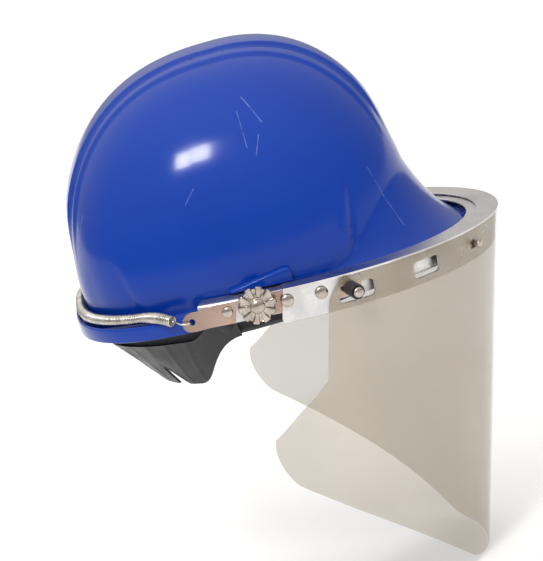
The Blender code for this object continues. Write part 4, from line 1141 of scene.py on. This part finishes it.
def make_knob(side, look):
    """Star knob: ten rounded points, each with a raised rib, falling to a hub in the middle."""
    place = side_frame(side, 0, PIVOT_Z)
    back = knob_back_x()
    count = KNOB_LOBES * 16
    hole = BOLT_RADIUS + FIT_GAP
    rings = []
    # height as a share of the thickness, and reach as a share of the radius, or the bore itself
    steps = [(0.0, hole), (0.0, 0.55), (0.0, 0.93), (0.10, 0.985), (0.25, 1.0), (0.72, 1.0), (0.9, 0.985),
             (1.0, 0.95), (1.0, 0.85), (1.0, 0.72), (1.0, 0.6), (1.0, 0.5), (1.0, hole)]
    for height, reach in steps:
        ring = []
        for index in range(count):
            angle = math.tau * index / count
            wave = 0.5 + 0.5 * math.cos(KNOB_LOBES * angle)
            radius = reach
            x = back + KNOB_THICK * height
            if reach > hole:
                notch = 0.09 * (1 - smooth_step(0.18, 0.62, wave)) * smooth_step(0.55, 0.9, reach)
                radius = KNOB_RADIUS * reach * (1 - notch)
            if height == 1.0 and reach > hole:
                valley = 1 - smooth_step(0.25, 0.55, wave)
                x -= KNOB_VALLEY * valley * smooth_step(0.40, 0.55, reach)
            ring.append(place @ Vector((x, radius * math.cos(angle), radius * math.sin(angle))))
        rings.append(ring)
    name = side_name(side)
    item = new_object("star_" + name, loft(rings, closed=True), look, sharp=45)
    settle(item, name + "_star_knob", "steel", "star_knob_" + name)
    low, high = (sorted(abs(corner.x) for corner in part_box("knob_nut_" + name)))
    profile = [(low, NUT_RADIUS * 0.93), (low + 0.5 * MM, NUT_RADIUS), (low + 1.2 * MM, NUT_RADIUS)]
    profile += dome(low + 1.2 * MM, NUT_RADIUS * 0.92, high - low - 1.2 * MM, 8)
    nut = new_object("hub_nut_" + name, turned(place, profile), look)
    return settle(nut, name + "_star_knob", "steel", "knob_nut_" + name)


def make_bolt_and_washer(side, steel, fibre):
    place = side_frame(side, 0, PIVOT_Z)
    name = side_name(side)
    low, high = sorted(abs(corner.x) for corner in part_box("pivot_bolt_" + name))
    shank = BOLT_RADIUS - 0.05 * MM
    profile = [(low, BOLT_HEAD_RADIUS * 0.8), (low + 0.4 * MM, BOLT_HEAD_RADIUS),
               (low + 1.3 * MM, BOLT_HEAD_RADIUS), (low + 1.4 * MM, shank), (high - 0.4 * MM, shank),
               (high, BOLT_RADIUS * 0.8)]
    bolt = new_object("bolt_" + name, turned(place, profile), steel)
    settle(bolt, "helmet", "steel", "pivot_bolt_" + name)
    low, high = sorted(abs(corner.x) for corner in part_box("friction_washer_" + name))
    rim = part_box("friction_washer_" + name)[1].z - PIVOT_Z
    bore = BOLT_RADIUS + FIT_GAP
    soft = 0.2 * MM
    section = [(low, bore), (low, rim - soft), (low + soft, rim), (high - soft, rim), (high, rim - soft),
               (high, bore)]
    washer = new_object("washer_" + name, hollow(place, section), fibre)
    settle(washer, "helmet", "fibre", "friction_washer_" + name)


# ---------------------------------------------------------------- spring
def spring_route():
    """Centre line on the wearer's left, from the rear centre round to the ear."""
    route = []
    for index in range(10):
        angle = math.radians(90 - 5 * index)
        route.append(shell_point(angle, brim_radius(angle) - SPRING_INSET, SPRING_Z))
    over_lip = ((93.5, 62.5, 14.0), (100.5, 57.0, 13.2), (104.6, 52.8, 11.6))
    return route + [Vector(point) * MM for point in over_lip]


def hook_route():
    return [Vector(point) * MM for point in ((105.4, 51.4, 11.0), (109.6, 48.4, 9.6), (110.6, 45.0, 8.8),
                                             (108.9, 42.4, 8.5), (104.5, 41.2, 8.5))]


def smooth_line(points, per_span=12):
    """Catmull-Rom curve through the points."""
    line = []
    padded = [2 * points[0] - points[1]] + points + [2 * points[-1] - points[-2]]
    for index in range(1, len(padded) - 2):
        before, start, end, after = padded[index - 1:index + 3]
        for step in range(per_span):
            part = step / per_span
            bend = (2 * before - 5 * start + 4 * end - after) * part ** 2
            bend += (3 * start - before - 3 * end + after) * part ** 3
            line.append(0.5 * (2 * start + (end - before) * part + bend))
    return line + [points[-1]]


def tube(line, radius, sides=8):
    """Tube along a line, carried along it without twisting."""
    rings = []
    side_axis = (line[1] - line[0]).cross(Vector((0, 0, 1))).normalized()
    for index, point in enumerate(line):
        ahead = line[min(len(line) - 1, index + 1)] - line[max(0, index - 1)]
        direction = ahead.normalized()
        side_axis = (side_axis - direction * side_axis.dot(direction)).normalized()
        other = direction.cross(side_axis)
        turns = [math.tau * part / sides for part in range(sides)]
        rings.append([point + (side_axis * math.cos(turn) + other * math.sin(turn)) * radius
                      for turn in turns])
    return loft(rings)


def mirrored(points):
    return [Vector((-point.x, point.y, point.z)) for point in points]


def coil_line(centre_line, radius, pitch, steps=14):
    """Helix wound tightly round a centre line."""
    lengths = [0.0]
    for before, after in zip(centre_line, centre_line[1:]):
        lengths.append(lengths[-1] + (after - before).length)
    turns = int(lengths[-1] / pitch)
    line = []
    side_axis = Vector((0, 0, 1))
    index = 0
    for step in range(turns * steps + 1):
        distance = lengths[-1] * step / (turns * steps)
        while index < len(lengths) - 2 and lengths[index + 1] < distance:
            index += 1
        part = (distance - lengths[index]) / (lengths[index + 1] - lengths[index])
        centre = centre_line[index].lerp(centre_line[index + 1], part)
        direction = (centre_line[index + 1] - centre_line[index]).normalized()
        side_axis = (side_axis - direction * side_axis.dot(direction)).normalized()
        other = direction.cross(side_axis)
        angle = math.tau * step / steps
        line.append(centre + (side_axis * math.cos(angle) + other * math.sin(angle)) * radius)
    return line


def make_spring(look):
    half = spring_route()
    body = smooth_line(mirrored(half)[::-1] + half[1:])
    coil = tube(coil_line(body, SPRING_RADIUS - COIL_WIRE, COIL_PITCH, 20), COIL_WIRE, 8)
    hook = smooth_line([half[-1]] + hook_route(), 10)
    parts = [coil, tube(hook, HOOK_WIRE_RADIUS, 10), tube(mirrored(hook), HOOK_WIRE_RADIUS, 10)]
    item = new_object("coil_spring", joined(parts), look, sharp=80)
    return settle(item, "helmet", "spring_steel", "tension_spring")


# ---------------------------------------------------------------- suspension
def band_point(angle, grow, height):
    x = (BAND_HALF_WIDTH + grow) * math.cos(angle)
    y = BAND_CENTRE_Y + (BAND_HALF_LENGTH + grow) * math.sin(angle)
    return Vector((x, y, height))


def make_headband(look):
    """Moulded band with rounded edges and a raised bead along each of them."""
    section = [(0.0, 13.6), (0.0, 12.4), (-0.35, 11.8), (-0.35, -11.8), (0.0, -12.4), (0.0, -13.6),
               (-0.4, -15.0), (-1.2, -15.0), (-1.6, -13.6), (-1.6, 13.6), (-1.2, 15.0), (-0.4, 15.0)]
    rings = []
    for index in range(160):
        angle = math.tau * index / 160
        rings.append([band_point(angle, grow * MM, height * MM) for grow, height in section])
    item = new_object("headband_moulding", loft(rings, closed=True), look)
    return settle(item, "helmet", "dark_plastic", "headband")


def make_brow_pad(look):
    """Crowned foam pad, pinched in by stitch lines across it."""
    rings = []
    count = 121
    middle_z = BAND_TOP - BAND_HEIGHT / 2
    back = -BAND_THICK - FIT_GAP
    for index in range(count):
        part = 2 * index / (count - 1) - 1
        angle = -math.pi / 2 + math.radians(62) * part
        end = math.sqrt(max(0.0, 1 - abs(part) ** 8))
        pinch = ridge(((part * 4.5 + 0.5) % 1.0) - 0.5, 0.12)
        ring = []
        for step in range(20):
            turn = math.tau * step / 20
            tall = (12.6 * end + 0.3) * MM * math.copysign(abs(math.sin(turn)) ** 0.55, math.sin(turn))
            depth = 1.3 * MM * (1 + math.copysign(abs(math.cos(turn)) ** 0.8, math.cos(turn)))
            depth *= (0.35 + 0.65 * end) * (1 - 0.45 * pinch * (0.5 + 0.5 * math.cos(turn)))
            ring.append(band_point(angle, back - depth, middle_z + tall))
        rings.append(ring)
    item = new_object("brow_pad_cover", loft(rings), look, sharp=70)
    settle(item, "helmet", "soft_pad", "brow_pad")
    return item


def make_crown_pad(look):
    """Round foam pad under the crossing straps, with a stitched rim."""
    centre = Matrix.Translation((0, APEX_Y, STRAP_CROWN_Z - 2 * FIT_GAP))
    place = centre @ Matrix.Rotation(-math.pi / 2, 4, "Y")
    profile = [(-4.5, 1.0), (-4.5, 8.0), (-4.3, 14.0), (-3.9, 17.5), (-3.3, 19.6), (-3.5, 20.4), (-3.3, 22.0),
               (-2.5, 23.0), (-1.5, 22.8), (-0.9, 21.2), (-0.6, 18.0), (-0.5, 12.0), (-0.5, 1.0)]
    profile = [(height * MM, radius * MM) for height, radius in profile]
    item = new_object("crown_pad_cover", turned(place, profile, 72), look, sharp=70)
    settle(item, "helmet", "soft_pad", "crown_pad")
    return item


def nape_point(angle, height, grow):
    """The nape strap leans in toward the neck as it drops below the headband."""
    high = BAND_TOP - BAND_HEIGHT
    drop = (high - height) / (high - NAPE_BOTTOM)
    across = BAND_HALF_WIDTH + 0.6 * MM + (NAPE_LOW_HALF_WIDTH - BAND_HALF_WIDTH) * drop + grow
    along = BAND_HALF_LENGTH + 0.6 * MM + (NAPE_LOW_LENGTH - BAND_HALF_LENGTH) * drop + grow
    return Vector((across * math.cos(angle), BAND_CENTRE_Y + along * math.sin(angle), height))


def make_nape_strap(look):
    """Ribbed strap under the rear brim, with a notch between its two lobes on each side."""
    rings = []
    count = 401
    rows = 10
    for index in range(count):
        part = index / (count - 1)
        angle = math.radians(10 + 160 * part)
        from_end = min(part, 1 - part)
        lobe = smooth_step(0.0, NAPE_LOBE_END, from_end)
        notch = 1 - smooth_step(0.0, NAPE_NOTCH_HALF_WIDTH, abs(from_end - NAPE_NOTCH))
        top = BAND_TOP - BAND_HEIGHT + 2.5 * MM + 11.5 * MM * (1 - smooth_step(0.03, 0.12, from_end))
        bottom = NAPE_END_BOTTOM + (NAPE_BOTTOM - NAPE_END_BOTTOM) * lobe
        bottom += (top - bottom) * NAPE_NOTCH_DEPTH * notch
        outside, inside = [], []
        for row in range(rows + 1):
            share = row / rows
            height = top + (bottom - top) * share
            inside.append(nape_point(angle, height, 0.0))
            lean = from_end - 0.05 * share
            rib = max(ridge(lean - centre, 0.011) for centre in NAPE_RIBS)
            sunk = NAPE_PANEL_DEPTH * smooth_step(0.0, 0.12, share) * smooth_step(0.0, 0.10, 1 - share)
            grow = NAPE_THICK - sunk * (1 - rib)
            outside.append(nape_point(angle, height, grow))
        rings.append(outside + inside[::-1])
    item = new_object("nape_moulding", loft(rings), look, sharp=40)
    cutters = []
    for side in (-1, 1):
        place = side_frame(side, NAPE_TILT_Y, NAPE_TILT_Z)
        cutters.append(turned(place, [(reach, NAPE_BORE_RADIUS) for reach in NAPE_BORE_REACH], 24))
    boolean_with(item, cutters)
    return settle(item, "nape_support", "dark_plastic", "nape_strap")


def make_nape_pin(side, look):
    name = "nape_pin_" + side_name(side)
    low, high = sorted(abs(corner.x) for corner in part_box(name))
    place = side_frame(side, NAPE_TILT_Y, NAPE_TILT_Z)
    profile = [(low, 3.4 * MM), (low + 0.5 * MM, 4.0 * MM), (low + 1.2 * MM, 4.0 * MM),
               (low + 1.2 * MM, 2.2 * MM), (high - 1.4 * MM, 2.2 * MM), (high - 1.4 * MM, 4.2 * MM)]
    profile += dome(high - 1.0 * MM, 4.1 * MM, 1.0 * MM, 5)
    item = new_object("head_" + name, turned(place, profile), look)
    return settle(item, "helmet", "dark_plastic", name)


def key_outer_radius(angle):
    return wall_radius(angle, KEY_MIDDLE_Z - KEY_HEIGHT / 2) - SHELL_THICK - KEY_WALL_GAP


def strap_foot_radius(angle):
    return key_outer_radius(angle) - KEY_THICK - FIT_GAP - STRAP_THICK


# across the strap's half width and through its thickness: woven edges are thicker than the middle
WEBBING_SECTION = ((-1, 0.35), (-1, 0.65), (-0.93, 0.95), (-0.82, 0.80), (0, 0.74), (0.82, 0.80),
                   (0.93, 0.95), (1, 0.65), (1, 0.35), (0.93, 0.05), (0, 0.0), (-0.93, 0.05))


def make_crown_strap(number, angle, lift, look):
    """Webbing over the head, with thick woven edges."""
    rings = []
    count = 97
    near = strap_foot_radius(angle)
    far = strap_foot_radius(angle + math.pi)
    across = Vector((-math.sin(angle), math.cos(angle), 0)) * STRAP_WIDTH / 2
    for index in range(count):
        swing = math.pi * index / (count - 1)
        reach = near if index <= count // 2 else far
        spread = math.copysign(abs(math.cos(swing)) ** 0.8, math.cos(swing)) * reach
        rise = math.sin(swing) ** 0.8 * (STRAP_CROWN_Z + lift - KEY_MIDDLE_Z)
        middle = shell_point(angle, spread, KEY_MIDDLE_Z + rise)
        plan = Vector((math.cos(angle), math.sin(angle), 0))
        outward = plan * math.cos(swing) + Vector((0, 0, 1)) * math.sin(swing)
        rings.append([middle + across * width + outward * STRAP_THICK * thick
                      for width, thick in WEBBING_SECTION])
    item = new_object("crown_webbing_%d" % number, loft(rings), look, sharp=60)
    return settle(item, "helmet", "webbing", "crown_strap_%d" % number)


def dress_keys(look):
    """The CAD's hanging keys already have their shape; they get rounded edges and moulded plastic."""
    for end in ("front", "rear"):
        for side in ("left", "right"):
            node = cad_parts["hanger_key_%s_%s" % (end, side)]
            node.data.materials.clear()
            node.data.materials.append(look)
            round_edges(node, 0.5 * MM)


# ---------------------------------------------------------------- stage
def make_camera():
    plan = Vector((-math.cos(VIEW_TURN), math.sin(VIEW_TURN), 0))
    back = plan * math.cos(VIEW_RISE) + Vector((0, 0, 1)) * math.sin(VIEW_RISE)
    level = (-back).cross(Vector((0, 0, 1))).normalized()
    upright = level.cross(-back)
    right = level * math.cos(VIEW_ROLL) - upright * math.sin(VIEW_ROLL)
    up = level * math.sin(VIEW_ROLL) + upright * math.cos(VIEW_ROLL)
    data = bpy.data.cameras.new("camera")
    data.lens = VIEW_LENS
    data.sensor_width = 36
    data.clip_end = 50
    camera = bpy.data.objects.new("camera", data)
    turn = Matrix((right, up, back)).transposed().to_4x4()
    camera.matrix_world = Matrix.Translation(VIEW_AIM + back * VIEW_DISTANCE) @ turn
    bpy.context.scene.collection.objects.link(camera)
    bpy.context.scene.camera = camera


def add_light(name, location, aim, size, energy):
    data = bpy.data.lights.new(name, "AREA")
    data.shape = "RECTANGLE"
    data.size, data.size_y = size
    data.energy = energy
    light = bpy.data.objects.new(name, data)
    direction = Vector(aim) - Vector(location)
    turn = direction.to_track_quat("-Z", "Y").to_matrix().to_4x4()
    light.matrix_world = Matrix.Translation(location) @ turn
    bpy.context.scene.collection.objects.link(light)


def make_stage():
    floor_z = CAD_BOX[0].z - 0.5 * MM
    corners = [(x * FLOOR_HALF_SIZE, y * FLOOR_HALF_SIZE, floor_z)
               for x, y in ((-1, -1), (1, -1), (1, 1), (-1, 1))]
    mesh = bpy.data.meshes.new("floor")
    mesh.from_pydata(corners, [], [(0, 1, 2, 3)])
    mesh.materials.append(floor_look())
    floor = bpy.data.objects.new("floor", mesh)
    bpy.context.scene.collection.objects.link(floor)
    world = bpy.data.worlds.new("studio")
    bpy.context.scene.world = world
    world.use_nodes = True
    light_dome(world.node_tree)
    for side in (-1, 1):
        place = WINDOW_LIGHT + Vector((0.03, 1, 0)).normalized() * PANE_SPACING * side
        add_light("window_pane", place, PANE_AIM, PANE_SIZE, PANE_POWER)


def light_dome(tree):
    """Sky that is bright overhead and dim near the horizon."""
    place = tree.nodes.new("ShaderNodeTexCoord")
    axes = tree.nodes.new("ShaderNodeSeparateXYZ")
    ramp = tree.nodes.new("ShaderNodeMapRange")
    numbers = {"From Min": 0.05, "From Max": 0.95, "To Min": DOME_HORIZON, "To Max": DOME_TOP}
    for key, number in numbers.items():
        ramp.inputs[key].default_value = number
    tree.links.new(place.outputs["Generated"], axes.inputs["Vector"])
    tree.links.new(axes.outputs["Z"], ramp.inputs["Value"])
    tree.links.new(ramp.outputs["Result"], tree.nodes["Background"].inputs["Strength"])
    tree.nodes["Background"].inputs["Color"].default_value = (1.0, 0.985, 0.96, 1)


def build():
    aluminium = sheet_look("aluminium_sheet", (0.62, 0.605, 0.60), (0.46, 0.445, 0.44), 0.30)
    strip_steel = sheet_look("strip_steel", (0.40, 0.29, 0.24), (0.27, 0.18, 0.145), 0.20, 0.6)
    bright_steel = steel_look("bright_steel", (0.50, 0.44, 0.39), 0.18)
    spring_steel = steel_look("spring_steel", (0.60, 0.57, 0.52), 0.22)
    plastic = plastic_look("moulded_black", (0.012, 0.013, 0.015), 0.38)
    band_plastic = plastic_look("band_black", (0.030, 0.031, 0.034), 0.5, 0.8)
    rubber = rubber_look()
    fibre = fibre_look()
    pad = pad_look()
    webbing = webbing_look()

    make_shell(shell_look())
    make_base_frame(aluminium)
    make_carrier_frame(aluminium)
    make_window(window_look())
    make_rivets(bright_steel)
    make_posts(bright_steel, rubber)
    make_studs(bright_steel)
    for side in (-1, 1):
        make_arm(side, strip_steel)
        make_ear(side, strip_steel)
        make_knob(side, bright_steel)
        make_bolt_and_washer(side, bright_steel, fibre)
        make_nape_pin(side, plastic)
    make_spring(spring_steel)
    make_headband(band_plastic)
    make_brow_pad(pad)
    make_crown_pad(pad)
    make_nape_strap(plastic)
    make_crown_strap(1, STRAP_ANGLE, 0.0, webbing)
    make_crown_strap(2, math.pi - STRAP_ANGLE, 2 * MM, webbing)
    dress_keys(band_plastic)


bpy.context.scene.view_settings.view_transform = "Standard"
make_camera()
make_stage()
build()
